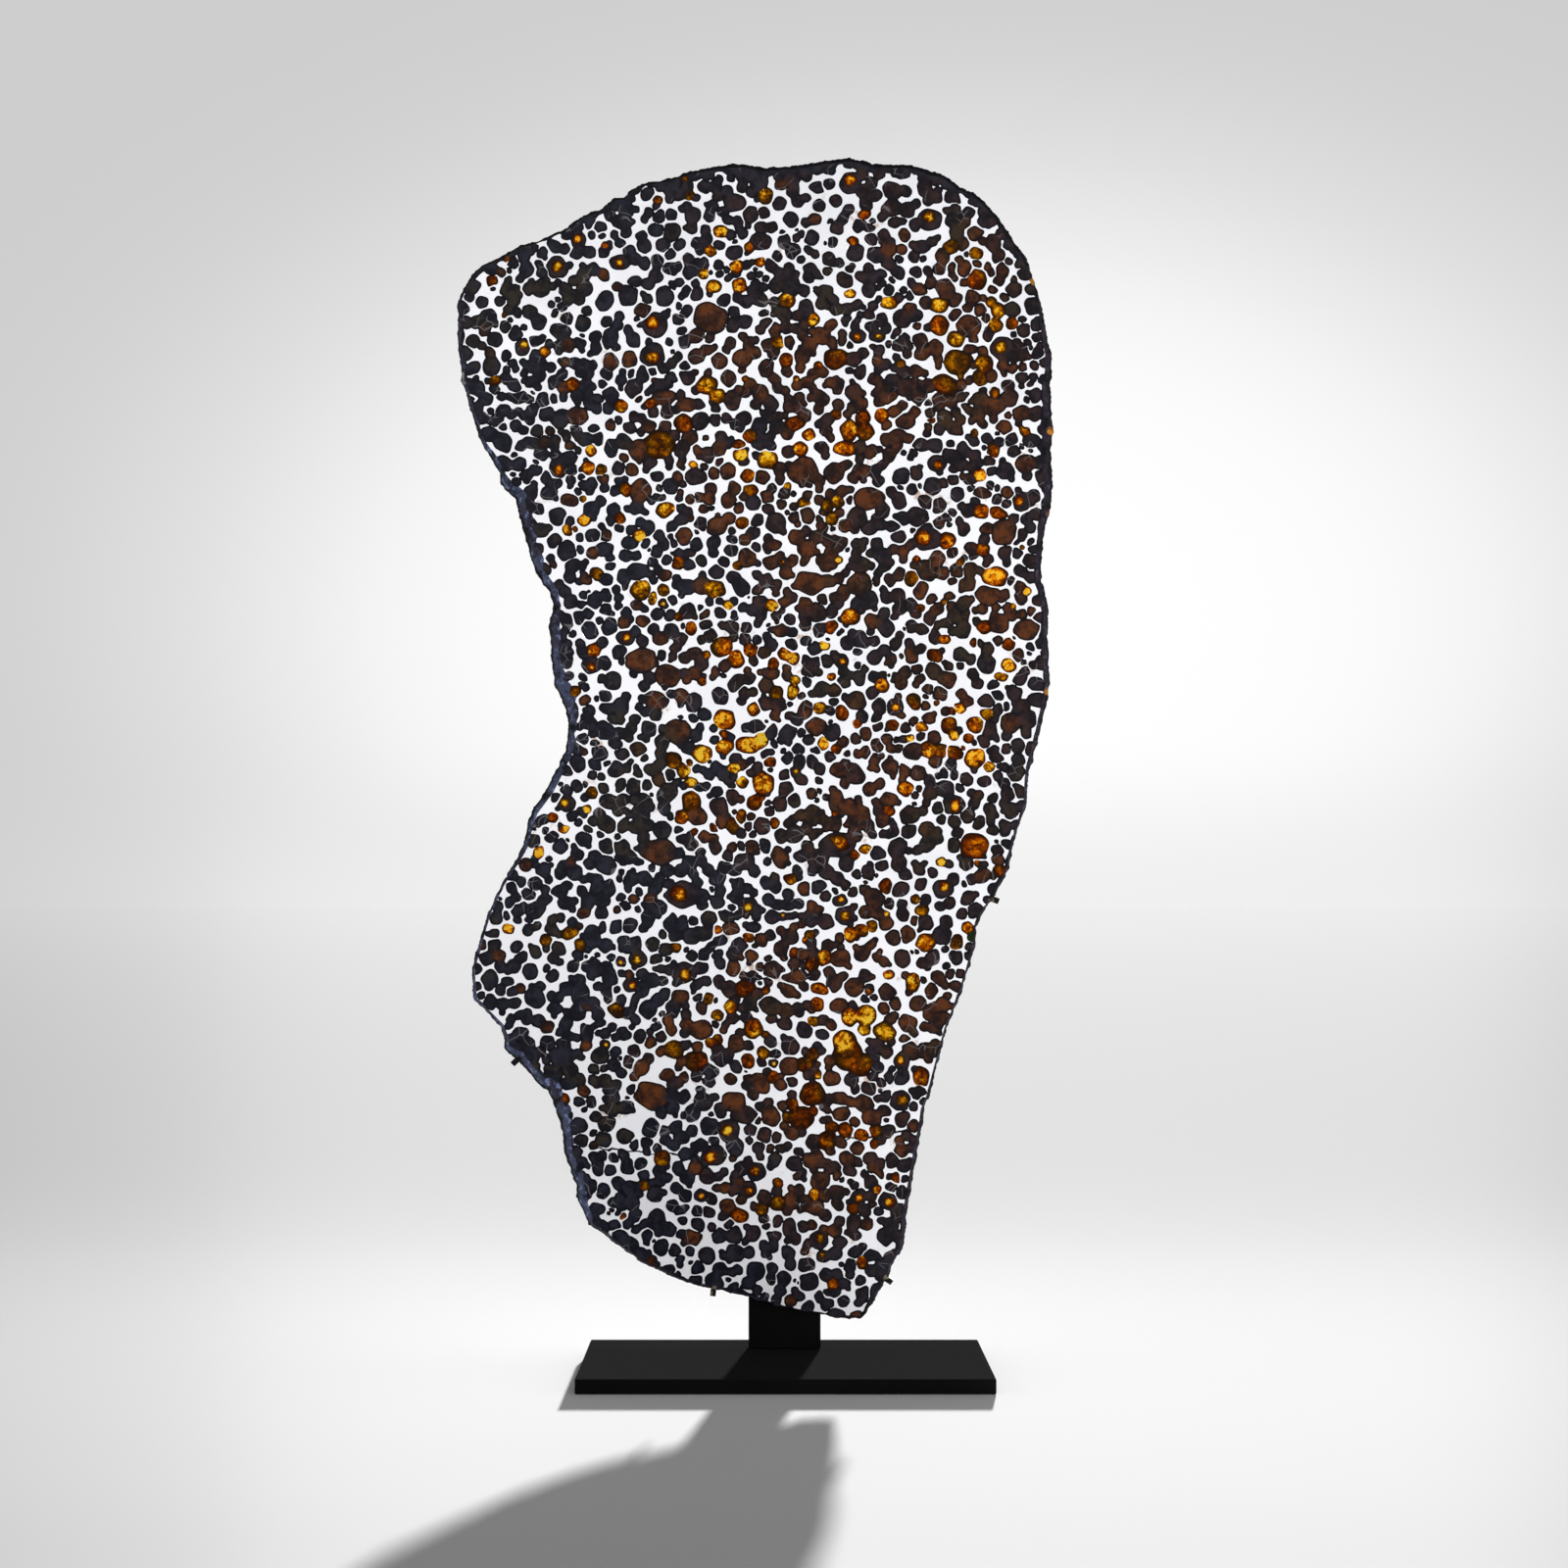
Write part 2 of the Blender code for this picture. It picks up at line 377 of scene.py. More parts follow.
def slate_crust(tree):
    """The left edge's slate blue, how much of it shows, and where glints are painted on small
    faces.
    """
    at = axes_of(tree, place(tree))
    leftwards = span(tree, at["X"], *SLATE_FROM_X, 0, 1)
    below_top = span(tree, at["Z"], *SLATE_FROM_Z, 0, 1)
    purplish = span(tree, grain(tree, PLUM_PATCH, detail=2), 0.48, 0.60, 0, 0.7)
    # Painted glints: small noise flecks of a paler colour
    painted_glints = span(tree, grain(tree, PAINTED_GLINT_SIZE, detail=5, roughness=0.65), 0.52, 0.66, 0, 1)
    colour = blend(tree, painted_glints, blend(tree, purplish, SLATE, PLUM), PAINTED_GLINT)
    return colour, product(tree, leftwards, below_top), painted_glints


skin, tree, shader = start_material("weathered_skin", 0.42)
left_colour, slaty, painted_glints = slate_crust(tree)
broken = span(tree, grain(tree, 0.0016, detail=4), 0.42, 0.6, 0.25, 1)
inner = span(tree, carried(tree, "outer"), 0.55, 0.85, 1, 0)
# Painted glints on the right: lilac flecks on the plum
right_colour = blend(tree, painted_glints, PLUM, LILAC_PAINTED_GLINT)
side_colour = blend(tree, slaty, right_colour, left_colour)
below_top = span(tree, axes_of(tree, place(tree))["Z"], *TOP_Z, 0.2, 1)
share = product(tree, product(tree, blotches(tree, 0), inner), below_top)
skin_colour = blend(tree, share, SOOT, side_colour)
for x, z, radius, colour in RIM_SPOTS:
    speckled = product(tree, spot(tree, x, z, radius), broken)
    skin_colour = blend(tree, speckled, skin_colour, colour)
tree.links.new(skin_colour, shader.inputs["Base Color"])
tree.links.new(span(tree, grain(tree, 0.003), 0.3, 0.7, 0.3, 0.6), shader.inputs["Roughness"])
shader.inputs["Specular IOR Level"].default_value = 0.12
roughen(tree, shader, grain(tree, PIT, detail=5), PIT_DEPTH, 0.8)

skin_piece = add_piece("slice_skin", skin_mesh(), skin)
skin_piece.data.shade_smooth()


# Olivine crystals: where each one lies
# About 3,200 crystals grew in the metal, most of them 4 to 17 mm across, and the saw cut
# through them. Those that stand out in colour are placed one by one; the rest fill in.

# The placed ones by colour: x, z, width and height in millimetres, as they show in front
GOLDEN = [
    (-45, 798, 9, 8), (46, 754, 7, 5), (20, 736, 7, 9), (-136, 644, 6, 8), (-141, 595, 8, 7),
    (-64, 634, 6, 3.5), (-31, 641, 9, 9), (137, 627, 8, 8), (38, 567, 4, 4), (6, 498, 8, 8),
    (-102, 584, 8, 8), (148, 555, 18, 13), (157, 493, 10, 8), (123, 463, 8, 6),
    (-58, 431, 13, 12), (-26, 437, 17, 11), (-17, 440, 8, 13), (-15, 411, 15, 14),
    (-36, 421, 9, 6), (27, 438, 6, 10), (134, 428, 14, 13), (-155, 378, 7, 4),
    (-194, 308, 7, 6), (110, 355, 6, 5), (42, 229, 15, 14), (57, 248, 13, 14),
    (46, 246, 10, 12), (21, 122, 6, 8), (65, 125, 5, 5), (-40, 535, 6, 6), (28, 507, 6, 6),
    (7, 483, 7, 5), (170, 545, 5, 5), (88, 442, 5, 4), (73, 276, 7, 5), (-42, 455, 14, 14),
    (51, 452, 5, 5), (-173, 362, 6, 9), (-139, 392, 5, 5), (175, 763, 3.5, 5),
]
AMBER = [
    (-52, 784, 8, 7), (-34, 773, 9, 9), (-57, 768, 8, 6), (-50, 759, 10, 8), (-32, 760, 9, 10),
    (-115, 675, 8, 8), (1, 749, 11, 9), (73, 748, 12, 8), (108, 746, 12, 10),
    (150, 742, 9, 10), (148, 732, 9, 9), (120, 722, 11, 10), (68, 668, 8, 10), (45, 658, 11, 14),
    (17, 655, 8, 7), (11, 645, 9, 9), (-12, 637, 13, 13), (42, 645, 16, 9), (-138, 632, 8, 9),
    (37, 608, 9, 7), (138, 601, 11, 9), (-84, 602, 13, 9), (-101, 546, 14, 13), (-93, 540, 5, 9),
    (-50, 547, 20, 10), (-134, 504, 9, 8), (-44, 506, 14, 14), (-34, 497, 10, 12),
    (-24, 504, 10, 9), (0, 501, 9, 8), (46, 527, 13, 10), (-9, 535, 9, 8), (152, 485, 9, 5),
    (6, 475, 6, 13), (68, 479, 9, 9), (24, 463, 9, 7), (-42, 436, 12, 10), (-66, 411, 8, 6),
    (-71, 419, 8, 10), (101, 434, 11, 10), (134, 451, 12, 10), (119, 444, 6, 6),
    (96, 450, 8, 7), (144, 422, 8, 6), (142, 459, 9, 7), (-30, 411, 8, 7), (85, 406, 11, 9),
    (57, 364, 10, 5), (133, 366, 20, 17), (90, 270, 9, 13), (96, 204, 10, 14),
    (54, 163, 9, 8), (99, 298, 14, 12), (46, 304, 8, 10), (25, 266, 13, 7), (23, 255, 8, 9),
    (70, 236, 15, 12), (-22, 238, 12, 13), (128, 309, 7, 7), (28, 288, 8, 12), (20, 243, 8, 6),
    (-38, 253, 8, 9), (-47, 247, 8, 7), (-17, 776, 7, 6), (-126, 788, 4, 4), (112, 511, 8, 5),
    (2, 619, 4, 4), (56, 237, 8, 7), (33, 485, 5, 4), (-47, 682, 10, 9), (-55, 690, 15, 11),
]
ORANGE = [
    (-67, 823, 6, 6), (-149, 690, 9, 9), (-94, 677, 10, 5), (-71, 663, 12, 12),
    (-24, 654, 10, 8), (-32, 648, 8, 6), (-5, 720, 8, 9), (1, 707, 9, 9), (109, 732, 13, 13),
    (160, 733, 8, 8), (117, 787, 10, 9), (134, 782, 9, 8), (48, 791, 7, 5), (122, 706, 20, 16),
    (140, 705, 11, 12), (36, 708, 17, 13), (113, 690, 18, 13), (55, 667, 9, 10), (36, 669, 7, 6),
    (57, 657, 12, 10), (7, 663, 14, 8), (103, 665, 5, 4), (133, 656, 4, 5), (169, 657, 6, 5),
    (-129, 630, 7, 8), (-89, 648, 22, 19), (-112, 617, 7, 10), (-142, 610, 4, 4),
    (-116, 596, 7, 8), (-30, 593, 9, 7), (-24, 616, 10, 7), (-26, 626, 10, 8), (-75, 565, 8, 9),
    (-133, 557, 10, 8), (-85, 546, 7, 8), (-33, 563, 6, 5), (-74, 527, 5, 5), (-66, 519, 7, 9),
    (13, 607, 8, 6), (146, 644, 8, 10), (149, 600, 13, 7), (139, 574, 9, 8), (89, 554, 9, 11),
    (33, 520, 8, 9), (95, 533, 6, 4), (140, 520, 9, 8), (157, 508, 9, 8), (-8, 494, 6, 9),
    (-6, 474, 8, 9), (40, 460, 8, 11), (118, 461, 4, 5), (-58, 482, 5, 5), (-66, 397, 12, 15),
    (-21, 397, 10, 10), (76, 451, 9, 6), (110, 433, 9, 9), (129, 442, 6, 6), (73, 391, 8, 6),
    (49, 360, 6, 6), (71, 338, 9, 10), (96, 321, 9, 7), (61, 310, 7, 8), (54, 307, 9, 8),
    (-47, 307, 6, 6), (-28, 266, 14, 10), (-54, 259, 8, 7), (-25, 302, 9, 6), (19, 283, 8, 9),
    (-62, 215, 17, 12), (-78, 223, 12, 12), (-26, 215, 9, 10), (-15, 221, 7, 9),
    (-47, 230, 6, 7), (-8, 204, 8, 7), (14, 213, 12, 8), (44, 220, 19, 21), (20, 220, 7, 8),
    (12, 175, 16, 15), (33, 169, 8, 7), (43, 167, 9, 10), (64, 166, 8, 8), (20, 180, 5, 6),
    (5, 185, 8, 7), (-16, 111, 8, 8), (-32, 107, 12, 9), (48, 112, 8, 7), (-86, 147, 10, 11),
    (54, 74, 8, 8), (34, 59, 7, 8), (-163, 386, 6, 6), (-151, 305, 12, 7), (4, 343, 9, 6),
    (135, 764, 12, 15), (20, 192, 17, 15), (132, 302, 6, 8), (53, 213, 18, 15),
]
RUSSET = [
    (-52, 737, 25, 20), (-152, 718, 8, 10), (-154, 706, 7, 6), (-122, 706, 9, 12),
    (-109, 708, 9, 12), (-30, 708, 12, 12), (-155, 688, 8, 8), (-84, 681, 17, 9),
    (-69, 676, 14, 8), (-145, 668, 14, 12), (-122, 662, 6, 8), (21, 806, 9, 7), (126, 804, 8, 8),
    (133, 796, 9, 9), (84, 795, 7, 9), (73, 785, 10, 10), (82, 785, 7, 7), (95, 757, 12, 7),
    (132, 751, 9, 12), (129, 732, 16, 15), (97, 712, 12, 8), (65, 707, 6, 8), (147, 675, 14, 12),
    (136, 670, 8, 10), (166, 670, 12, 10), (-17, 684, 10, 12), (2, 656, 8, 8),
    (154, 660, 10, 9), (-169, 650, 9, 9), (-128, 624, 8, 7), (-102, 644, 14, 14),
    (-101, 615, 13, 17), (-46, 645, 9, 10), (-151, 609, 12, 8), (-126, 584, 8, 8),
    (-71, 584, 12, 12), (-48, 591, 14, 12), (-28, 581, 8, 7), (-139, 554, 8, 8),
    (-84, 556, 9, 7), (-58, 549, 12, 11), (-104, 535, 8, 6), (-113, 523, 9, 8),
    (-100, 524, 10, 7), (-82, 486, 16, 16), (-100, 497, 25, 15), (-91, 468, 16, 12),
    (13, 630, 21, 17), (54, 630, 13, 8), (-16, 625, 10, 9), (169, 635, 14, 12), (58, 610, 24, 13),
    (156, 614, 9, 8), (139, 614, 13, 7), (154, 586, 18, 17), (16, 575, 12, 12), (17, 551, 21, 15),
    (130, 560, 10, 10), (64, 552, 5, 6), (52, 550, 17, 15), (143, 542, 18, 12), (61, 524, 9, 10),
    (126, 526, 6, 6), (170, 518, 17, 14), (-2, 518, 12, 8), (-15, 502, 10, 7), (89, 500, 9, 12),
    (164, 500, 7, 9), (114, 483, 13, 11), (50, 468, 14, 12), (-75, 446, 17, 18), (22, 450, 14, 12),
    (-103, 434, 11, 9), (-88, 413, 9, 9), (57, 445, 8, 9), (72, 441, 9, 7), (-62, 387, 14, 11),
    (60, 406, 9, 9), (73, 399, 12, 9), (136, 402, 6, 6), (36, 398, 8, 17), (45, 394, 8, 12),
    (54, 389, 12, 11), (100, 378, 12, 9), (-150, 355, 5, 6), (-50, 372, 6, 5),
    (-106, 329, 8, 6), (14, 336, 9, 9), (19, 324, 6, 8), (-38, 308, 12, 8), (8, 274, 16, 8),
    (-201, 289, 9, 8), (38, 254, 12, 9), (-34, 228, 10, 12), (-59, 237, 16, 13), (33, 203, 12, 9),
    (-94, 191, 23, 19), (-36, 187, 17, 12), (39, 189, 11, 8), (40, 178, 13, 8), (51, 154, 9, 9),
    (44, 147, 12, 9), (25, 131, 13, 11), (28, 121, 7, 9), (21, 112, 12, 9), (5, 117, 8, 12),
    (37, 135, 5, 7), (35, 96, 9, 8), (-65, 91, 13, 11), (4, 47, 8, 7), (51, 37, 10, 4),
    (-89, 362, 25, 17),
]
EMBERS = [
    (-145, 792, 9, 13), (-160, 772, 14, 15), (-116, 776, 14, 9), (-91, 732, 16, 17),
    (-93, 711, 17, 15), (-184, 717, 10, 12), (46, 832, 14, 14), (102, 806, 16, 14),
    (51, 724, 12, 8), (65, 724, 10, 8), (153, 715, 16, 16), (-159, 632, 10, 15),
    (166, 608, 12, 12), (100, 583, 18, 18), (-1, 565, 6, 7), (107, 635, 12, 11), (-85, 536, 7, 7),
    (-112, 512, 12, 10), (-136, 493, 12, 11), (40, 496, 9, 9), (77, 464, 11, 11), (7, 418, 8, 6),
    (119, 395, 16, 13), (-153, 396, 12, 11), (-71, 332, 24, 17),
    (111, 336, 14, 12), (39, 328, 10, 8), (42, 318, 13, 12), (-103, 287, 12, 11),
    (-115, 285, 6, 7), (-70, 277, 16, 14), (-108, 269, 10, 9), (-1, 317, 5, 5), (59, 265, 6, 9),
    (-26, 324, 12, 12), (81, 187, 14, 14), (82, 215, 9, 15), (-39, 167, 14, 15),
    (-50, 149, 19, 12), (-20, 138, 12, 12), (-26, 125, 12, 10), (-59, 121, 9, 8), (52, 120, 10, 11),
    (72, 117, 12, 13), (24, 90, 12, 12), (27, 78, 9, 7), (-126, 227, 6, 8), (37, 367, 28, 14),
    (-8, 214, 6, 6),
]

# Open pools of metal, where crystals lie further apart: x, z, radius in millimetres
METAL_POOLS = [
    (-172, 735, 15), (-125, 759, 22), (-215, 764, 9), (-155, 777, 9), (-104, 806, 12),
    (28, 815, 24), (103, 797, 12), (41, 792, 13), (-205, 644, 8), (-123, 588, 19),
    (-170, 566, 12), (-46, 472, 20), (-112, 478, 12), (88, 635, 13), (125, 588, 10),
    (122, 470, 18), (-30, 458, 12), (45, 418, 17), (20, 405, 12), (-178, 390, 14),
    (-157, 365, 12), (-190, 300, 12), (-163, 279, 13), (108, 350, 19), (133, 332, 13),
    (65, 285, 16), (100, 282, 12), (-141, 178, 12), (-106, 172, 14), (-90, 205, 14),
    (-45, 200, 12), (-90, 112, 10), (-2, 132, 10), (75, 150, 8), (170, 812, 8), (-80, 715, 12),
]

# Where the crystals ran together into large masses: x, z, radius in millimetres
CROWDS = [
    (-80, 660, 42), (-40, 700, 38), (0, 690, 40), (30, 640, 42), (60, 680, 35), (20, 745, 35),
    (-60, 830, 25), (0, 840, 30), (60, 835, 30), (120, 800, 30), (-130, 775, 25),
    (-160, 700, 25), (-75, 490, 35), (-100, 450, 25), (0, 560, 30), (50, 545, 30),
    (20, 370, 35), (50, 395, 35), (-20, 340, 30), (-80, 345, 30), (20, 300, 35),
    (-20, 240, 40), (40, 215, 40), (-60, 210, 35), (-100, 260, 30), (-165, 250, 28),
    (20, 170, 35), (-70, 140, 35), (-20, 130, 30), (30, 110, 30), (-100, 120, 25),
    (130, 690, 35), (150, 530, 25), (-150, 330, 30), (-10, 80, 25), (110, 240, 25),
]


def strength(x, z, patches):
    """How strongly the patches bear on a point, from 0 to 1."""
    most = 0.0
    for patch_x, patch_z, radius in patches:
        off = math.hypot(x - patch_x, z - patch_z) / radius
        most = max(most, 1 - off * off)
    return most


def inside(points, ring):
    """Which points lie inside the ring."""
    x, z = points[:, 0:1], points[:, 1:2]
    a, b = ring, np.roll(ring, -1, axis=0)
    crosses = (a[:, 1] > z) != (b[:, 1] > z)
    rise = np.where(b[:, 1] == a[:, 1], 1e-9, b[:, 1] - a[:, 1])
    at = a[:, 0] + (z - a[:, 1]) / rise * (b[:, 0] - a[:, 0])
    return (np.sum(crosses & (x < at), axis=1) % 2) == 1


POOL_REACH = 1.4  # how far a pool still keeps crystals apart, as a share of its radius
POOL_ROOM = 0.30
LOOSER = (34, 1.7)  # size in mm and seed of the places where crystals lie a little looser


def elbow_room(x, z):
    """How far apart crystals keep here: 1 where they just touch, more in a pool of metal."""
    room = 1.0 + 0.05 * lumps((x, 0, z), *LOOSER)
    for pool_x, pool_z, radius in METAL_POOLS:
        off = math.hypot(x - pool_x, z - pool_z) / radius
        if off < POOL_REACH:
            room += POOL_ROOM * (1 - off / POOL_REACH) ** 0.7
    return room


THETA = np.linspace(0, math.tau, 48, endpoint=False)  # angles at which an outline is kept
FEWEST_FLATS = 4
MOST_FLATS = 6
DEEPEST_CUT = 0.78  # how near the middle a flat lies, as a share of the reach there


class Crystal:
    """One crystal as the saw cut it: where, how large, its outline and its colour."""

    def __init__(self, x, z, wide, high, turn, lit, tone, rim, dice):
        self.x = x
        self.z = z
        self.radius = math.sqrt(wide * high) / 2
        self.lit = lit  # how clear it is, from 0 (black) to 1 (golden), and how bright its glow is painted
        self.tone = tone  # colour of a black one, from 0 (blue) to 1 (red-brown)
        self.rim = rim  # share of its radius over which a clear one's painted glow darkens outwards: painted shade
        half_w, half_h = wide / 2, high / 2
        along = THETA - turn
        reach = half_w * half_h / np.sqrt((half_h * np.cos(along)) ** 2
                                          + (half_w * np.sin(along)) ** 2)
        spin = dice.uniform(0, math.tau)
        flats = dice.randint(FEWEST_FLATS, MOST_FLATS)
        body = reach.copy()
        for k in range(flats):
            facing = (spin + (k + dice.uniform(-0.25, 0.25)) * math.tau / flats) % math.tau
            there = np.interp(facing, np.append(THETA, math.tau), np.append(body, body[0]))
            cut = there * dice.uniform(DEEPEST_CUT, 1.0)
            lean = np.maximum(np.cos(THETA - facing), 0.3)
            reach = np.minimum(reach, cut / lean)
        for _ in range(3):
            reach = (np.roll(reach, 1) + 2 * reach + np.roll(reach, -1)) / 4
        self.reach = reach * math.sqrt(wide * high / 4 / (reach ** 2).mean())

    def reach_at(self, angle):
        """How far the outline lies from the middle, in mm."""
        return np.interp(angle % math.tau, np.append(THETA, math.tau),
                         np.append(self.reach, self.reach[0]))


# Where the thrown crystals run to red-brown: x, z, radius in millimetres
WARM_PATCHES = [
    (-85, 655, 45), (-40, 700, 40), (15, 700, 45), (60, 665, 40), (125, 700, 50),
    (20, 615, 45), (-50, 620, 35), (-60, 500, 45), (10, 560, 45), (110, 560, 40),
    (150, 530, 35), (-10, 480, 35), (30, 390, 45), (70, 420, 40), (100, 470, 40),
    (50, 300, 50), (0, 270, 55), (-40, 245, 50), (0, 190, 60), (40, 160, 55), (20, 110, 45),
    (-45, 380, 35), (130, 760, 40), (-90, 215, 30), (-20, 400, 35), (90, 250, 45), (-30, 120, 40),
]


# How clear each placed group is
CLEARNESS = ((GOLDEN, 1.1), (AMBER, 0.76), (ORANGE, 0.52), (EMBERS, 0), (RUSSET, 0))
RUSSET_TONE = 0.9
EMBER_TONE = 0.4
LARGE = 200  # clear crystals with more width times height than this are dimmer, mm2
# Where a draw from 0 to 1 makes a thrown crystal amber, orange or else russet: below the first
# number, and the second as well in a warm patch
AMBER_BELOW = (0.003, 0.012)
ORANGE_BELOW = (0.010, 0.055)
RUSSET_BELOW = (0.04, 0.35)


def colour_at(x, z, dice):
    """How clear a thrown crystal is and its tone, by where it lies."""
    warm = strength(x, z, WARM_PATCHES)
    right_and_up = 0.5 + 0.5 * math.tanh(x / 70 + (z - 430) / 420)
    tone = 0.40 * right_and_up + 0.50 * warm + dice.uniform(-0.15, 0.15)
    draw = dice.random()
    if draw < AMBER_BELOW[0] + AMBER_BELOW[1] * warm:
        return 0.78, tone
    if draw < ORANGE_BELOW[0] + ORANGE_BELOW[1] * warm:
        return 0.5, tone
    if draw < RUSSET_BELOW[0] + RUSSET_BELOW[1] * warm:
        tone = RUSSET_TONE
    return 0.0, min(1.0, max(0.0, tone))


# Sizes thrown in, from large to small: smallest and largest radius in mm, and tries
THROWS = [(5.4, 6.8, 400), (4.4, 5.4, 1700), (3.6, 4.4, 6000), (2.9, 3.6, 10000),
          (2.2, 2.9, 9000), (1.5, 2.2, 4500), (1.0, 1.5, 1500)]
CELL = 9.0  # crystals are looked up in squares of this size, mm
TOUCH = 0.99  # centre distance of two crystals side by side, as a share of their radii
DRAWN_FROM = 4.0  # a crystal with a neighbour nearer than this drifts against it, mm
DRIFTING = 0.85  # share of such neighbours that do draw it
# How far in from its edge a crystal's painted glow darkens, as a share of its radius: placed,
# thrown and hearts
PLACED_RIM = 0.32
THROWN_RIM = 0.5
HEART_RIM = 0.9
HEART_SIZE = 0.60  # the clear heart of an ember, as a share of the crystal
LARGEST_RADIUS = 12


def scatter():
    """The placed crystals, then others thrown in where there is room and drawn together.

    Also the clear hearts of the embers, each with the radius of the crystal it lies in.
    """
    dice = random.Random(20)
    found = []
    hearts = []
    cells = {}

    def keep(crystal):
        found.append(crystal)
        key = (int(crystal.x // CELL), int(crystal.z // CELL))
        cells.setdefault(key, []).append(crystal)

    def around(x, z, reach):
        column, row, steps = int(x // CELL), int(z // CELL), int(math.ceil(reach / CELL))
        for i in range(column - steps, column + steps + 1):
            for j in range(row - steps, row + steps + 1):
                yield from cells.get((i, j), ())

    def fits(x, z, radius, room):
        return all((x - c.x) ** 2 + (z - c.z) ** 2 >= ((radius + c.radius) * room) ** 2
                   for c in around(x, z, (radius + LARGEST_RADIUS) * room))

    for group, lit in CLEARNESS:
        tone = RUSSET_TONE if group is RUSSET else EMBER_TONE
        for x, z, wide, high in group:
            dimmed = lit * (0.85 if wide * high > LARGE else 1) * dice.uniform(0.9, 1.08)
            crystal = Crystal(x, z, wide, high, dice.uniform(-0.25, 0.25), dimmed, tone,
                              PLACED_RIM, dice)
            keep(crystal)
            if group is EMBERS:
                heart_x = x + dice.uniform(-0.12, 0.12) * wide
                heart_z = z + dice.uniform(-0.12, 0.12) * high
                heart = Crystal(heart_x, heart_z, wide * HEART_SIZE, high * HEART_SIZE,
                                dice.uniform(0, math.pi), dice.uniform(0.95, 1.25), tone,
                                HEART_RIM, dice)
                hearts.append((heart, crystal.radius))
    low, high = face_ring.min(axis=0), face_ring.max(axis=0)
    for smallest, largest, tries in THROWS:
        spots = np.array([(dice.uniform(low[0], high[0]), dice.uniform(low[1], high[1]))
                          for _ in range(tries)])
        spots = spots[inside(spots, face_ring)]
        for x, z in spots:
            radius = dice.uniform(smallest, largest)
            if not fits(x, z, radius, elbow_room(x, z)):
                continue
            near = sorted(around(x, z, radius + 16),
                          key=lambda c: math.hypot(c.x - x, c.z - z) - c.radius)[:3]
            for other in near:
                apart = math.hypot(other.x - x, other.z - z)
                slack = apart - (radius + other.radius) * TOUCH
                if 0 < slack < DRAWN_FROM and dice.random() < DRIFTING:
                    new_x = x + (other.x - x) * slack / apart
                    new_z = z + (other.z - z) * slack / apart
                    if fits(new_x, new_z, radius, TOUCH - 0.05):
                        x, z = new_x, new_z
                        break
            stretch = dice.uniform(1.0, 1.5) ** 0.5
            lit, tone = colour_at(x, z, dice)
            keep(Crystal(x, z, radius * 2 * stretch, radius * 2 / stretch,
                         dice.uniform(0, math.pi), lit, tone, THROWN_RIM, dice))
    return found, hearts


crystals, hearts = scatter()


# Olivine crystals: how they grew together
# Neighbours that met fused into one rounded mass, with the metal left in smooth-sided pools.
# The masses are traced on a fine grid, then cut, with the metal round them, from one sheet.
STEP = 0.5  # grid spacing, mm
BLEND = 0.42  # how softly crystals of one mass run together, mm
CORNER = 0.65  # how round the corners are where three masses meet, mm
GROWTH = 1.05  # how far crystals spread past their thrown size where there is room, mm
VEIN = 0.25  # least width of metal left between two masses, mm
VEIN_MORE = 0.9  # and how much more there is where the vein is widest, mm
LAYERS = 10  # the crust's, and enough more that masses side by side never share one
ROUNDING = 0.38  # width of the worn rim round each mass, mm
TRACE_SLACK = 0.13  # how far the traced lines may leave the true ones, mm
NEIGHBOURS = 6  # crystals no further apart than this are neighbours, mm
FUSE_GAP = 1.4  # crystals further apart than this never fuse, mm
FUSE_SHARE = 0.52  # share of the nearer pairs that do
RING_REACH = 12  # how far in from the edge the distance to it is measured, mm
EDGE_STEP = 0.8
LEAST_CRUST = 0.3
DEEPEST_CRUST = 9
# Where the dark crust eats into the face: x, z, radius and how deep it goes, in millimetres
CRUST = [(-60, 850, 60, 5.0), (30, 860, 70, 6.0), (120, 840, 55, 5.0), (170, 790, 35, 4.5),
         (-130, 815, 50, 4.0), (-205, 780, 35, 3.0), (180, 640, 60, 3.0), (185, 520, 60, 2.0),
         (-225, 700, 45, 3.0), (-165, 480, 60, 4.5), (-185, 590, 60, 5.0), (-165, 190, 50, 4.5),
         (-140, 120, 40, 4.0), (150, 350, 60, 1.5), (70, 70, 50, 2.5), (-60, 60, 70, 2.5)]


def head_of(heads, k):
    """The one that stands for k's group; heads leads each member towards it."""
    while heads[k] != k:
        heads[k] = heads[heads[k]]
        k = heads[k]
    return k


def mass_layers():
    """Each crystal's layer: fused neighbours share one, and other neighbours never do."""
    dice = random.Random(9)
    heads = list(range(len(crystals)))
    spots = np.array([(c.x, c.z, c.radius) for c in crystals])
    pairs = []
    for k, (x, z, radius) in enumerate(spots):
        apart = np.hypot(spots[:, 0] - x, spots[:, 1] - z) - spots[:, 2] - radius
        near = np.nonzero(apart[k + 1:] < NEIGHBOURS)[0] + k + 1
        pairs += [(k, int(other), float(apart[other])) for other in near]
    for first, second, gap in pairs:
        crowd = strength(spots[first][0], spots[first][1], CROWDS)
        small = min(spots[first][2], spots[second][2])
        chance = FUSE_SHARE + 0.70 * crowd + (0.1 if small < 2 else 0)
        if gap < -2 or gap < FUSE_GAP and dice.random() < chance:
            heads[head_of(heads, first)] = head_of(heads, second)
    beside = {}
    for first, second, _gap in pairs:
        a, b = head_of(heads, first), head_of(heads, second)
        if a != b:
            beside.setdefault(a, set()).add(b)
            beside.setdefault(b, set()).add(a)
    mass_of = [head_of(heads, k) for k in range(len(crystals))]
    layer = {}
    for mass in sorted(set(mass_of), key=lambda m: -len(beside.get(m, ()))):
        taken = {layer[other] for other in beside.get(mass, ()) if other in layer}
        free = [k for k in range(1, LAYERS) if k not in taken]
        layer[mass] = free[0] if free else LAYERS - 1
    return [layer[mass] for mass in mass_of]


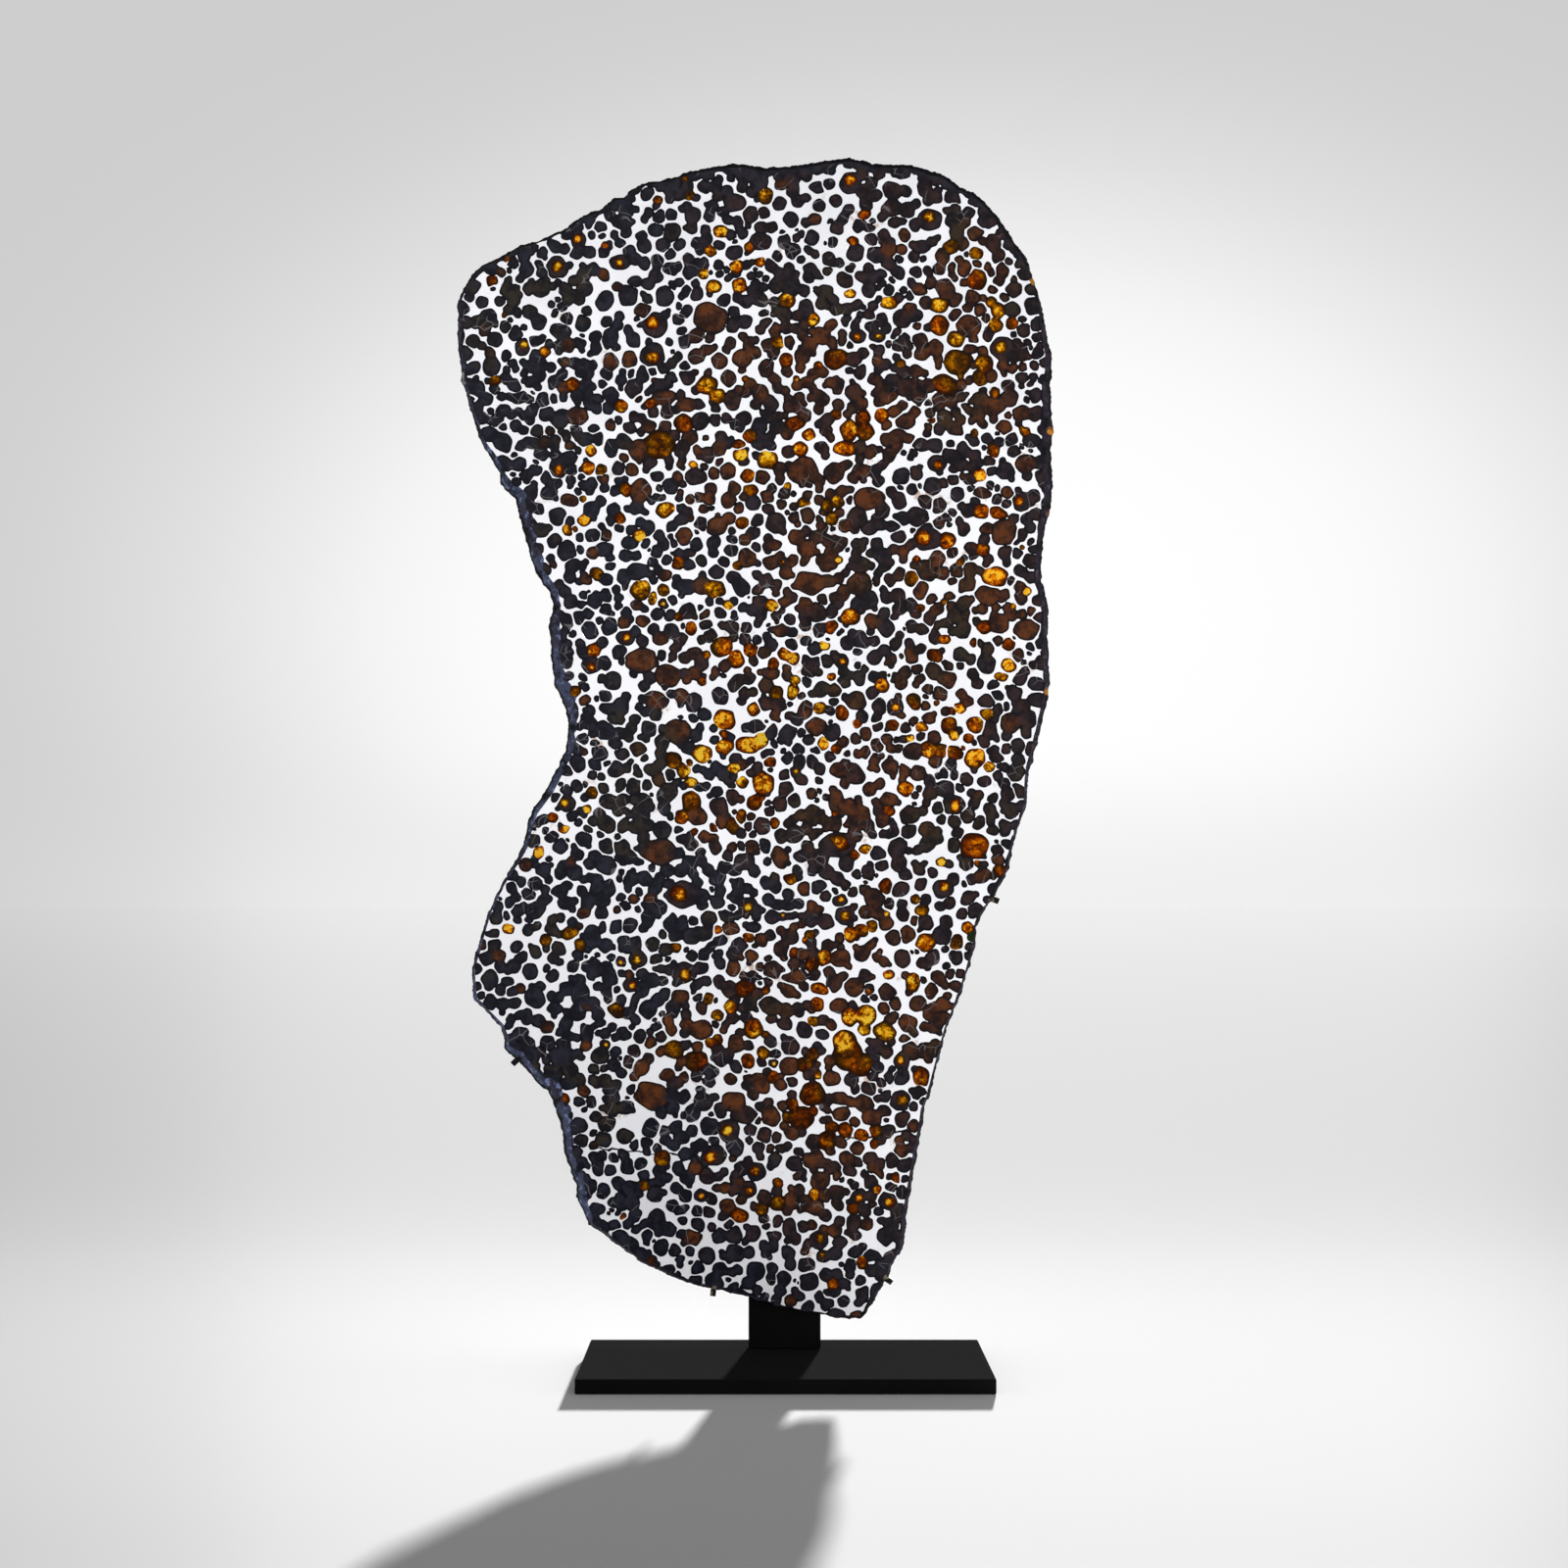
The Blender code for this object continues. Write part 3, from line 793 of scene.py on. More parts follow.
def window_round(x, z, reach):
    """The grid's window within reach of a point, and how far off and which way its cells lie."""
    i0, i1 = np.searchsorted(grid_x, (x - reach, x + reach))
    j0, j1 = np.searchsorted(grid_z, (z - reach, z + reach))
    off_x = grid_x[None, i0:i1] - x
    off_z = grid_z[j0:j1, None] - z
    window = (slice(j0, j1), slice(i0, i1))
    return window, np.hypot(off_x, off_z), np.arctan2(off_z, off_x)


def eased(share):
    """A share from 0 to 1 that starts and ends gently."""
    return share * share * (3 - 2 * share)


grid_x = np.arange(face_ring[:, 0].min() - 3, face_ring[:, 0].max() + 3, STEP)
grid_z = np.arange(face_ring[:, 1].min() - 3, face_ring[:, 1].max() + 3, STEP)
shape = (len(grid_z), len(grid_x))
layer_sum = np.full((LAYERS, *shape), 1e-9)  # layer 0 is the crust
black_sum = np.full(shape, 1e-9)
clear_sum = np.full(shape, 1e-10)
tone_sum = np.zeros(shape)
# How brightly the clear crystals' amber glow is painted, as light from behind would show: dark at
# the rims, brighter on one side
light = np.zeros(shape)

for crystal, layer in zip(crystals, mass_layers()):
    window, apart, angle = window_round(crystal.x, crystal.z, crystal.reach.max() + 6)
    limit = crystal.reach_at(angle) + GROWTH
    near = np.exp(np.clip((limit - apart) / BLEND, -20, 20))
    layer_sum[layer][window] += near
    if crystal.lit > 0:
        clear_sum[window] += near
        lean = np.cos(angle - crystal.x * 7.7)  # painted light: the glow is painted brighter on one side
        inner = np.clip((1 - apart / limit) / (crystal.rim * (1 - 0.55 * lean)), 0, 1)
        inner = eased(inner) * (1 + 0.25 * lean * apart / limit) * crystal.lit
        light[window] = np.maximum(light[window], inner)
    else:
        black_sum[window] += near
        tone_sum[window] += near * crystal.tone

# The embers' clear hearts get a bright painted glow too
for heart, host_radius in hearts:
    window, apart, angle = window_round(heart.x, heart.z, heart.reach.max() + 3)
    limit = heart.reach_at(angle)
    over = host_radius + GROWTH - limit + (limit - apart) * 4
    clear_sum[window] += np.exp(np.clip(over / BLEND, -20, 40))
    inner = np.clip((1.15 - apart / limit) / heart.rim, 0, 1)
    light[window] = np.maximum(light[window], eased(inner) * heart.lit)

from_ring = np.full(shape, float(RING_REACH))
next_ring = np.roll(face_ring, -1, axis=0)
side_lengths = np.linalg.norm(next_ring - face_ring, axis=1)
for (x, z), (next_x, next_z), length in zip(face_ring, next_ring, side_lengths):
    for share in np.arange(0, 1, EDGE_STEP / length):
        window, apart, _angle = window_round(x + (next_x - x) * share, z + (next_z - z) * share,
                                             RING_REACH)
        from_ring[window] = np.minimum(from_ring[window], apart)
for j, i in zip(*np.nonzero(from_ring < DEEPEST_CRUST)):
    x, z = grid_x[i], grid_z[j]
    deep = LEAST_CRUST
    for patch_x, patch_z, radius, depth in CRUST:
        off = math.hypot(x - patch_x, z - patch_z) / radius
        deep = max(deep, depth * min(1.0, 1.6 * (1 - off)))
    deep *= 0.75 + 1.1 * lumps((x, 40, z), 7, 2.9)
    near = math.exp(min(20, max(-20, (deep - from_ring[j, i]) / BLEND)))
    layer_sum[0, j, i] += near
    black_sum[j, i] += near

black_depth = BLEND * np.log(black_sum)  # mm inside the black crystals, negative outside
clear_depth = BLEND * np.log(clear_sum)
tone = tone_sum / black_sum
crust_depth = BLEND * np.log(layer_sum[0])
by_layer = BLEND * np.log(layer_sum[1:])
by_layer.sort(axis=0)
best = by_layer[-1]
others = CORNER * np.log(np.exp(np.maximum(by_layer[:-1], -9) / CORNER).sum(axis=0))
# Slow waves that make the veins wider here and narrower there
waves = (np.sin(grid_x / 4.7 + 2.1 * np.sin(grid_z[:, None] / 6.1))
         * np.sin(grid_z[:, None] / 5.3 + 1.7 * np.sin(grid_x / 7.9)))
split = (best - others - VEIN - VEIN_MORE * np.maximum(waves, 0)) / 2
own = -BLEND * np.log(np.exp(-np.minimum(best, 6) / BLEND) + np.exp(-np.minimum(split, 6) / BLEND))
olivine_depth = np.maximum(own, crust_depth)


def trace(field, level):
    """Lines where the field crosses the level, each an array of (x, z) points in order."""
    high = field > level
    links = {}

    def link(a, b):
        links.setdefault(a, []).append(b)
        links.setdefault(b, []).append(a)

    corners = (high[:-1, :-1].astype(int) + 2 * high[:-1, 1:] + 4 * high[1:, 1:]
               + 8 * high[1:, :-1])
    for j, i in zip(*np.nonzero((corners > 0) & (corners < 15))):
        case = int(corners[j, i])
        low_side, right = (0, j, i), (1, j, i + 1)
        top_side, left = (0, j + 1, i), (1, j, i)
        if case in (5, 10):
            middle = field[j:j + 2, i:i + 2].mean() > level
            if (case == 5) == middle:
                link(low_side, right)
                link(top_side, left)
            else:
                link(low_side, left)
                link(right, top_side)
            continue
        ends = []
        if (case & 1 > 0) != (case & 2 > 0):
            ends.append(low_side)
        if (case & 2 > 0) != (case & 4 > 0):
            ends.append(right)
        if (case & 4 > 0) != (case & 8 > 0):
            ends.append(top_side)
        if (case & 8 > 0) != (case & 1 > 0):
            ends.append(left)
        link(*ends)

    def crossing(key):
        upright, j, i = key
        first = field[j, i]
        second = field[j + 1, i] if upright else field[j, i + 1]
        share = (level - first) / (second - first)
        if upright:
            return grid_x[i], grid_z[j] + share * STEP
        return grid_x[i] + share * STEP, grid_z[j]

    lines = []
    while links:
        start = next(iter(links))
        line = [start]
        here = start
        while links.get(here):
            onward = links[here].pop()
            links[onward].remove(here)
            if not links[here]:
                del links[here]
            line.append(onward)
            here = onward
        links.pop(here, None)
        if len(line) > 5:
            lines.append(np.array([crossing(key) for key in line]))
    return lines


def thinned(line, slack):
    """The line with the points left out that it can spare."""
    keep = np.zeros(len(line), bool)
    keep[[0, -1]] = True
    spans = [(0, len(line) - 1)]
    if np.allclose(line[0], line[-1]):
        far = int(np.argmax(((line - line[0]) ** 2).sum(1)))
        keep[far] = True
        spans = [(0, far), (far, len(line) - 1)]
    while spans:
        first, last = spans.pop()
        if last - first < 2:
            continue
        run = line[last] - line[first]
        length = math.hypot(*run)
        off = line[first + 1:last] - line[first]
        if length < 1e-9:
            away = np.hypot(off[:, 0], off[:, 1])
        else:
            away = np.abs(off[:, 0] * run[1] - off[:, 1] * run[0]) / length
        most = int(np.argmax(away))
        if away[most] > slack:
            middle = first + 1 + most
            keep[middle] = True
            spans += [(first, middle), (middle, last)]
    return line[keep]


def sample(field, points):
    """The field's value at each (x, z) point, between the grid's own."""
    at_i = np.clip((points[:, 0] - grid_x[0]) / STEP, 0, len(grid_x) - 1.001)
    at_j = np.clip((points[:, 1] - grid_z[0]) / STEP, 0, len(grid_z) - 1.001)
    i, j = at_i.astype(int), at_j.astype(int)
    u, v = at_i - i, at_j - j
    return ((field[j, i] * (1 - u) + field[j, i + 1] * u) * (1 - v)
            + (field[j + 1, i] * (1 - u) + field[j + 1, i + 1] * u) * v)


def twice_area(a, b, c):
    """Twice each triangle's area, negative where its corners run clockwise."""
    return (b - a)[:, 0] * (c - a)[:, 1] - (b - a)[:, 1] * (c - a)[:, 0]


# Rings of points inside a crystal, for its shading: share of the way out, and how many points
RINGS_CLEAR = [(0.35, 5), (0.7, 9)]
RINGS_BLACK = [(0.55, 5)]
RINGS_SMALL_CLEAR = [(0.5, 4)]
SMALL_RADIUS = 2.4
WITHIN_RIM = 0.35  # they keep this far inside the worn rim, mm
HALFWAY = 460  # black masses above and below this height are two pieces, mm
PROBE = 0.4  # a slope is read between points this far to each side, mm
TUCK_REACH = 0.2  # how far in from its walls a crystal is drawn in with them, mm


def shading_points():
    """Points inside each crystal that carry its colour: its middle and rings round it."""
    kept = []
    for crystal in crystals + [heart for heart, _radius in hearts]:
        rings = RINGS_CLEAR if crystal.lit else RINGS_BLACK
        if crystal.radius < SMALL_RADIUS:
            rings = RINGS_SMALL_CLEAR if crystal.lit else []
        spots = [(crystal.x, crystal.z)]
        for share, count in rings:
            for k in range(count):
                angle = (k + share) * math.tau / count
                far = crystal.reach_at(angle) * share
                spots.append((crystal.x + far * math.cos(angle),
                              crystal.z + far * math.sin(angle)))
        spots = np.array(spots)
        good = sample(olivine_depth, spots) > ROUNDING + WITHIN_RIM
        kept.extend(map(tuple, spots[good]))
    return kept


def patch_numbers(tris, walls):
    """Each triangle's patch: all that can be reached from it without crossing a wall."""
    heads = list(range(len(tris)))
    seen = {}
    for t, (a, b, c) in enumerate(tris.tolist()):
        for side in ((a, b), (b, c), (c, a)):
            side = frozenset(side)
            if side in walls:
                continue
            if side in seen:
                heads[head_of(heads, t)] = head_of(heads, seen[side])
            else:
                seen[side] = t
    return np.array([head_of(heads, t) for t in range(len(tris))])


def sheet():
    """One flat sheet of triangles, split along every line; each triangle knows its stuff."""
    points, edges = [], []

    def add_line(line, closed):
        first = len(points)
        points.extend((float(x), float(z)) for x, z in line)
        edges.extend((first + k, first + k + 1) for k in range(len(line) - 1))
        if closed:
            edges.append((first + len(line) - 1, first))

    def add_traced(field, level, slack):
        for line in trace(field, level):
            closed = np.allclose(line[0], line[-1])
            line = thinned(line, slack)
            if closed:
                line = line[:-1]
            if len(line) > 2 or not closed:
                add_line(line, closed)

    add_line(face_ring, True)
    add_traced(olivine_depth, 0, TRACE_SLACK)
    for line in trace(clear_depth - black_depth, 0):
        within = sample(olivine_depth, line) > -0.2
        within = np.flatnonzero(np.convolve(within, np.ones(5), "same") > 0)
        for run in np.split(within, np.flatnonzero(np.diff(within) > 1) + 1):
            if len(run) > 1:
                add_line(thinned(line[run], TRACE_SLACK), False)
    wall_edges = len(edges)
    add_traced(olivine_depth, ROUNDING, TRACE_SLACK * 1.6)
    points.extend(shading_points())
    flat, sides, tris, _points, side_from, _faces = delaunay_2d_cdt(
        [Vector(p) for p in points], edges, [], 0, 1e-5)
    flat = np.array([tuple(p) for p in flat])
    tris = np.array(tris)
    walls = {frozenset(side) for side, came in zip(sides, side_from)
             if any(k < wall_edges for k in came)}
    patch = patch_numbers(tris, walls)
    a, b, c = (flat[tris[:, k]] for k in range(3))
    widest = {}
    for t in np.argsort(np.abs(twice_area(a, b, c))).tolist():
        widest[int(patch[t])] = t
    ids = np.array(sorted(widest))
    middles = ((a + b + c) / 3)[[widest[int(k)] for k in ids]]
    solid = sample(olivine_depth, middles) > 0
    clear = sample(clear_depth - black_depth, middles) > 0
    upper = middles[:, 1] > HALFWAY
    kinds = np.where(~inside(middles, face_ring), "none",
                     np.where(~solid, "metal",
                              np.where(clear, "clear", np.where(upper, "upper", "lower"))))
    kind_of = dict(zip(ids.tolist(), kinds.tolist()))
    return flat, tris, np.array([kind_of[int(k)] for k in patch])


sheet_points, sheet_tris, sheet_kinds = sheet()


def cut_out(name, kind, front, back, fields, tuck=0.0):
    """The part of the sheet of one kind, made solid; front and back give depths in mm.

    A tuck draws its walls in from the metal's by that much, so that no faces coincide.
    """
    tris = sheet_tris[sheet_kinds == kind]
    used, numbered = np.unique(tris, return_inverse=True)
    numbered = numbered.reshape(-1, 3)
    flat = sheet_points[used].copy()
    count = len(used)
    near = front(flat)
    far = back(flat)
    if tuck:
        depth = sample(olivine_depth, flat)
        slope = np.stack([sample(olivine_depth, flat + step) - sample(olivine_depth, flat - step)
                          for step in np.array([(PROBE, 0), (0, PROBE)])], axis=1)
        slope /= np.maximum(np.linalg.norm(slope, axis=1), 1e-6)[:, None]
        flat += slope * (np.clip(1 - depth / TUCK_REACH, 0, 1) * tuck)[:, None]
    verts = np.vstack([np.stack([flat[:, 0], near, flat[:, 1]], axis=1),
                       np.stack([flat[:, 0], far, flat[:, 1]], axis=1)]) * MM
    turned = twice_area(*(flat[numbered[:, k]] for k in range(3))) < 0
    numbered[turned] = numbered[turned][:, ::-1]
    faces = numbered.tolist() + (numbered[:, ::-1] + count).tolist()
    sides = set()
    for a, b, c in numbered.tolist():
        sides.update(((a, b), (b, c), (c, a)))
    for a, b in sides:
        if (b, a) not in sides:
            faces.append((b, a, a + count, b + count))
    mesh = bpy.data.meshes.new(name)
    mesh.from_pydata(verts.tolist(), [], faces)
    for label, field in fields.items():
        values = np.tile(sample(field, flat), 2)
        mesh.attributes.new(label, "FLOAT", "POINT").data.foreach_set("value", values)
    mesh.update()
    return mesh


# Iron-nickel network
# The bright metal that fills between the crystals, one plate 4.5 mm thick with a hole for
# each crystal. It was lapped and polished to a mirror, with faint rust along some grains.
METAL = (0.955, 0.955, 0.995)
RUST = (0.62, 0.47, 0.40)
RUST_PATCH = 0.012  # size of the rusty places, m
RUST_GRAIN = 0.0025
POLISH_WAVE = 0.004  # size and depth of the polish's unevenness, m
POLISH_DEPTH = 0.00002
# Cracks, darkened with dirt and painted shade along their step: where each starts and ends (x, z,
# x, z), in millimetres
CRACKS = [(-140, 155, -69, 148), (34, 158, 99, 169)]
CRACK_DIRT_AND_SHADE = (0.012, 0.009, 0.010)
CRACK_DARK_REACH = 0.9  # how far the darkening spreads from the crack, mm
CRACK_WANDER = 9  # how far a crack strays from the straight line, mm
CRACK_ENDS = 4  # length over which a crack fades out at its ends, mm

iron, tree, shader = start_material("polished_iron_nickel", 0.12, metallic=1.0)
stain_spots = span(tree, grain(tree, RUST_PATCH, detail=2), 0.62, 0.72, 0, 1)
stain_edges = span(tree, grain(tree, RUST_GRAIN, detail=4), 0.46, 0.60, 0, 1)
stained = product(tree, stain_spots, stain_edges)
iron_colour = ramp(tree, stained, [(0, METAL), (1, RUST)])
at = axes_of(tree, place(tree))
jagged = product(tree, reckon(tree, "SUBTRACT", grain(tree, 0.006, detail=4), 0.5),
                 CRACK_WANDER * MM)
for left, left_z, right, right_z in CRACKS:
    slope = (right_z - left_z) / (right - left)
    level = reckon(tree, "ADD", product(tree, at["X"], slope), (left_z - left * slope) * MM)
    off = reckon(tree, "ADD", reckon(tree, "SUBTRACT", at["Z"], level), jagged)
    on_line = span(tree, reckon(tree, "ABSOLUTE", off, 0.0), CRACK_DARK_REACH * MM,
                   CRACK_DARK_REACH * 0.4 * MM, 0, 1)
    after = span(tree, at["X"], left * MM, (left + CRACK_ENDS) * MM, 0, 1)
    before = span(tree, at["X"], right * MM, (right - CRACK_ENDS) * MM, 0, 1)
    iron_colour = blend(tree, product(tree, on_line, product(tree, after, before)),
                        iron_colour, CRACK_DIRT_AND_SHADE)
tree.links.new(iron_colour, shader.inputs["Base Color"])
tree.links.new(span(tree, grain(tree, 0.02), 0.3, 0.7, 0.30, 0.38), shader.inputs["Roughness"])
roughen(tree, shader, grain(tree, POLISH_WAVE, detail=2), POLISH_DEPTH, 0.5)

metal_mesh = cut_out("slice_metal", "metal",
                     lambda flat: np.full(len(flat), FRONT_Y / MM),
                     lambda flat: np.full(len(flat), BACK_Y / MM), {})
add_piece("slice_metal", metal_mesh, iron)


# Olivine crystals: the bodies
# The crystals go right through the slice and are flush with the polish on both faces. Most are
# near black, bluish or brown inside, with painted shade darkening their rims; the clear ones let
# little light through, and their amber glow from behind is painted into their colour.
RELIEF = 0.04  # the crystals' faces lie this far below the metal's, mm
RIM_SINK = 0.20  # and their worn rims this much further, mm
WALL_GAP = 0.05  # between a crystal's walls and the metal's, mm
IOR = 1.67
# A black crystal's rim, darkened as painted shade where it meets the metal, and its middle, from
# blue (0) to red-brown (1)
SHADED_RIM_TONES = [(0, (0.004, 0.004, 0.009)), (0.5, (0.004, 0.003, 0.006)), (1, (0.006, 0.002, 0.003))]
DEEP_TONES = [(0, (0.022, 0.023, 0.038)), (0.35, (0.034, 0.022, 0.028)),
              (0.7, (0.075, 0.025, 0.012)), (1, (0.17, 0.046, 0.008))]
OLIVE_BROWN = (0.042, 0.030, 0.014)
CLOUD = 0.004  # size of the pale clouds in a crystal, m
# A clear crystal's colours with its painted glow, from its rim in painted shade (0) to its
# brightest painted flaw glints (1)
YELLOWS = [(0, (0.007, 0.006, 0.007)), (0.2, (0.028, 0.013, 0.004)),
           (0.42, (0.10, 0.034, 0.002)), (0.62, (0.29, 0.10, 0.001)),
           (0.8, (0.64, 0.25, 0.001)), (0.93, (0.95, 0.46, 0.004)), (1, (1.0, 0.66, 0.05))]
ORANGES = [(0, (0.009, 0.004, 0.005)), (0.2, (0.034, 0.008, 0.003)),
           (0.42, (0.13, 0.020, 0.002)), (0.62, (0.35, 0.058, 0.001)),
           (0.8, (0.66, 0.17, 0.001)), (0.93, (0.97, 0.36, 0.004)), (1, (1.0, 0.56, 0.03))]
GREENS = [(0, (0.004, 0.010, 0.006)), (0.6, (0.006, 0.055, 0.018)), (1, (0.08, 0.2, 0.02))]
AMBER_GLOSS = (1.0, 0.35, 0.04, 1)
# Clear crystals let only this share of light through; most of their glow is painted into the colour
SEE_THROUGH = 0.07
LET_THROUGH = (0.98, 0.78, 0.06, 1)  # the colours of light that a clear crystal lets through
SWALLOWED_PER_METRE = 400  # and how strongly it swallows the rest
GREEN_AT = (133, 302, 5)  # one crystal at the right edge is green: x, z and radius, mm
SEAM_SPACING = 0.011  # between hairlines of metal where crystals only just met, m
SEAM_WIDTH = 0.0003
SEAM_METAL = (0.15, 0.135, 0.14)
SEAM_STRAYS = 0.005  # how far a hairline strays from straight, m
FLAW = 0.0017  # size of the flaws inside a clear crystal, on which glints are painted, m
FLAW_STRAYS = 0.0016
PAINTED_FLAW_GLINT = 0.75
CRYSTAL_PIT = 0.0014  # size and depth of the pits that the polish leaves in olivine, m
CRYSTAL_PIT_DEPTH = 0.00006


def sunk(flat):
    """How far below the metal each point of a crystal lies, mm."""
    worn = np.clip(1 - sample(olivine_depth, flat) / ROUNDING, 0, 1)
    return RELIEF + RIM_SINK * worn


def strayed(tree, reach, detail):
    """Where a point is on the piece, led astray by up to reach metres."""
    stray = node(tree, "TexNoise", Scale=0.5 / reach, Detail=detail)
    tree.links.new(place(tree), stray.inputs["Vector"])
    bent = node(tree, "VectorMath", {"operation": "MULTIPLY_ADD"})
    tree.links.new(stray.outputs["Color"], bent.inputs[0])
    bent.inputs[1].default_value = (reach, reach, reach)
    tree.links.new(place(tree), bent.inputs[2])
    return bent.outputs["Vector"]


black_olivine, tree, shader = start_material("black_olivine", 0.2)
shader.inputs["IOR"].default_value = IOR
shader.inputs["Specular IOR Level"].default_value = 0.06
painted_shade_rim_tone = ramp(tree, carried(tree, "tone"), SHADED_RIM_TONES)
deep_tone = ramp(tree, carried(tree, "tone"), DEEP_TONES)
clouds = span(tree, grain(tree, CLOUD, detail=5, roughness=0.6), 0.36, 0.66, 0.15, 1.1)
# Darker within about 0.3 to 2.2 mm of the crystal's edge: painted shade
lit = product(tree, clouds, span(tree, carried(tree, "depth"), 0.3, 2.2, 0, 1))
olive = span(tree, grain(tree, 0.022, detail=2), 0.54, 0.64, 0, 0.7)
deep_tone = blend(tree, olive, deep_tone, OLIVE_BROWN)
seams = node(tree, "TexVoronoi", {"feature": "DISTANCE_TO_EDGE"}, Scale=1 / SEAM_SPACING)
tree.links.new(strayed(tree, SEAM_STRAYS, 0.5), seams.inputs["Vector"])
on_seam = span(tree, seams.outputs["Distance"], SEAM_WIDTH * 0.4 / SEAM_SPACING,
               SEAM_WIDTH / SEAM_SPACING, 1, 0)
open_seam = span(tree, grain(tree, 0.012, detail=2), 0.56, 0.62, 0, 1)
bare_colour = blend(tree, lit, painted_shade_rim_tone, deep_tone)
black_colour = blend(tree, product(tree, on_seam, open_seam), bare_colour, SEAM_METAL)
# The slate crust on crystals near the left edge, with its painted glints
crust_colour, slaty, _painted_glints = slate_crust(tree)
crusted = product(tree, span(tree, carried(tree, "crust"), -0.3, 0.4, 0, 1), slaty)
crusted = product(tree, crusted, blotches(tree, 0.1))
black_colour = blend(tree, crusted, black_colour, crust_colour)
tree.links.new(black_colour, shader.inputs["Base Color"])
roughen(tree, shader, grain(tree, CRYSTAL_PIT, detail=4), CRYSTAL_PIT_DEPTH, 0.5)

clear_olivine, tree, shader = start_material("clear_olivine", 0.45)
shader.inputs["IOR"].default_value = IOR
shader.inputs["Specular IOR Level"].default_value = 0.04
shader.inputs["Transmission Weight"].default_value = SEE_THROUGH
shader.inputs["Specular Tint"].default_value = AMBER_GLOSS
clouds = span(tree, grain(tree, 0.0035, detail=5, roughness=0.65), 0.36, 0.64, 0.12, 0.88)
flaws = node(tree, "TexVoronoi", Scale=1 / FLAW)
tree.links.new(strayed(tree, FLAW_STRAYS, 3.0), flaws.inputs["Vector"])
facets = node(tree, "SeparateColor")
tree.links.new(flaws.outputs["Color"], facets.inputs["Color"])
# The painted glow, with painted glints on the flaws
painted_glints_and_clouds = node(tree, "Math", {"operation": "MULTIPLY_ADD"})
tree.links.new(facets.outputs["Red"], painted_glints_and_clouds.inputs[0])
painted_glints_and_clouds.inputs[1].default_value = PAINTED_FLAW_GLINT
tree.links.new(clouds, painted_glints_and_clouds.inputs[2])
lit = product(tree, painted_glints_and_clouds.outputs["Value"], carried(tree, "light"))
hue = span(tree, grain(tree, 0.014, detail=2), 0.42, 0.58, 0, 1)
clear_colour = blend(tree, hue, ramp(tree, lit, ORANGES), ramp(tree, lit, YELLOWS))
clear_colour = blend(tree, spot(tree, *GREEN_AT), clear_colour, ramp(tree, lit, GREENS))
tree.links.new(clear_colour, shader.inputs["Base Color"])
roughen(tree, shader, grain(tree, 0.0013, detail=5), 0.0002, 0.7)
volume = node(tree, "VolumeAbsorption", Color=LET_THROUGH, Density=SWALLOWED_PER_METRE)
tree.links.new(volume.outputs["Volume"], tree.nodes["Material Output"].inputs["Volume"])

carried_fields = {"tone": tone, "light": light, "depth": olivine_depth, "crust": crust_depth - own}
for name, kind, look in (("olivine_black_upper", "upper", black_olivine),
                         ("olivine_black_lower", "lower", black_olivine),
                         ("olivine_clear", "clear", clear_olivine)):
    body = cut_out(name, kind,
                   lambda flat: FRONT_Y / MM + sunk(flat),
                   lambda flat: BACK_Y / MM - sunk(flat),
                   carried_fields, tuck=WALL_GAP)
    add_piece(name, body, look)


# Floor, light and camera
# A pale floor under a white studio sky, bright behind the slice and darker overhead, with
# one low lamp behind the slice, a little to the right, and a level camera 0.33 m up. The floor's
# colour is painted darker to the sides and further off, as painted light falloff.
FLOOR_SIZE = 400.0
FLOOR_DROP = 0.0002  # the floor lies this far under the base plate, m
SKY_FRONT = 1.18  # the sky's strength on the camera's side, which the metal mirrors
SKY_OVERHEAD = 0.15
OVERHEAD_FROM = (0.30, 0.52)  # how steeply up the one turns into the other, as a direction's z
SKY_HORIZON = 0.865
HORIZON_BAND = (0.0, 0.07)  # how far up from the floor's end this strength turns into the glow
BEHIND_FROM = (0.0, 0.6)  # where the front's sky turns into the glow, as a direction's y
# The glow behind the slice: its middle as a direction (x, z), how much it is flattened, and its
# strength by the distance from the middle
GLOW_MIDDLE = (0.06, 0.11)
GLOW_FLATNESS = 1.6
GLOW = [(0, 1.0), (0.15, 0.98), (0.20, 0.93), (0.25, 0.83), (0.31, 0.71), (0.38, 0.63),
        (0.54, 0.60), (0.72, 0.18), (1, 0.12)]
SUN_WAY = (-0.71, -5.1, -1.0)
SUN_WIDTH = 2.5  # how wide the lamp looks from the slice, degrees
SUN_STRENGTH = 13.5
# How the light falls off to the sides, in the sky's strength and painted into the floor's colour:
# offset over distance, and share of the light left
FALL_OFF = [(-0.30, 0.765), (-0.25, 0.825), (-0.19, 0.94), (-0.14, 0.985), (-0.08, 1.0),
            (0.22, 1.0), (0.26, 0.985), (0.31, 0.91)]
SIDE_LIMIT = 0.32  # further off to the side than this, nothing more changes
# Floor: share of the way to the horizon (0 below the slice, less in front), and how pale, painted
# light falloff included
FLOOR_PALE_AND_PAINTED_FALLOFF = [(-0.9, 0.95), (-0.65, 0.93), (-0.45, 0.80), (-0.2, 0.83), (0, 0.855),
              (0.11, 0.84), (0.21, 0.80), (0.315, 0.735), (0.42, 0.70), (0.54, 0.695),
              (0.63, 0.70), (0.84, 0.735), (1, 0.79)]
LIT_FROM_Y = -1.718  # the floor's painted light falls off sideways from the line through here
NEAREST = 0.9  # nearer to that line than this, the floor stays alike, m
CAMERA_AT = (-0.0104, -1.718, 0.3258)
IMAGE_SIZE = 1600
FOCAL_PIXELS = 2526
AXIS_PIXEL = (785.6, 922)
SENSOR_MM = 36


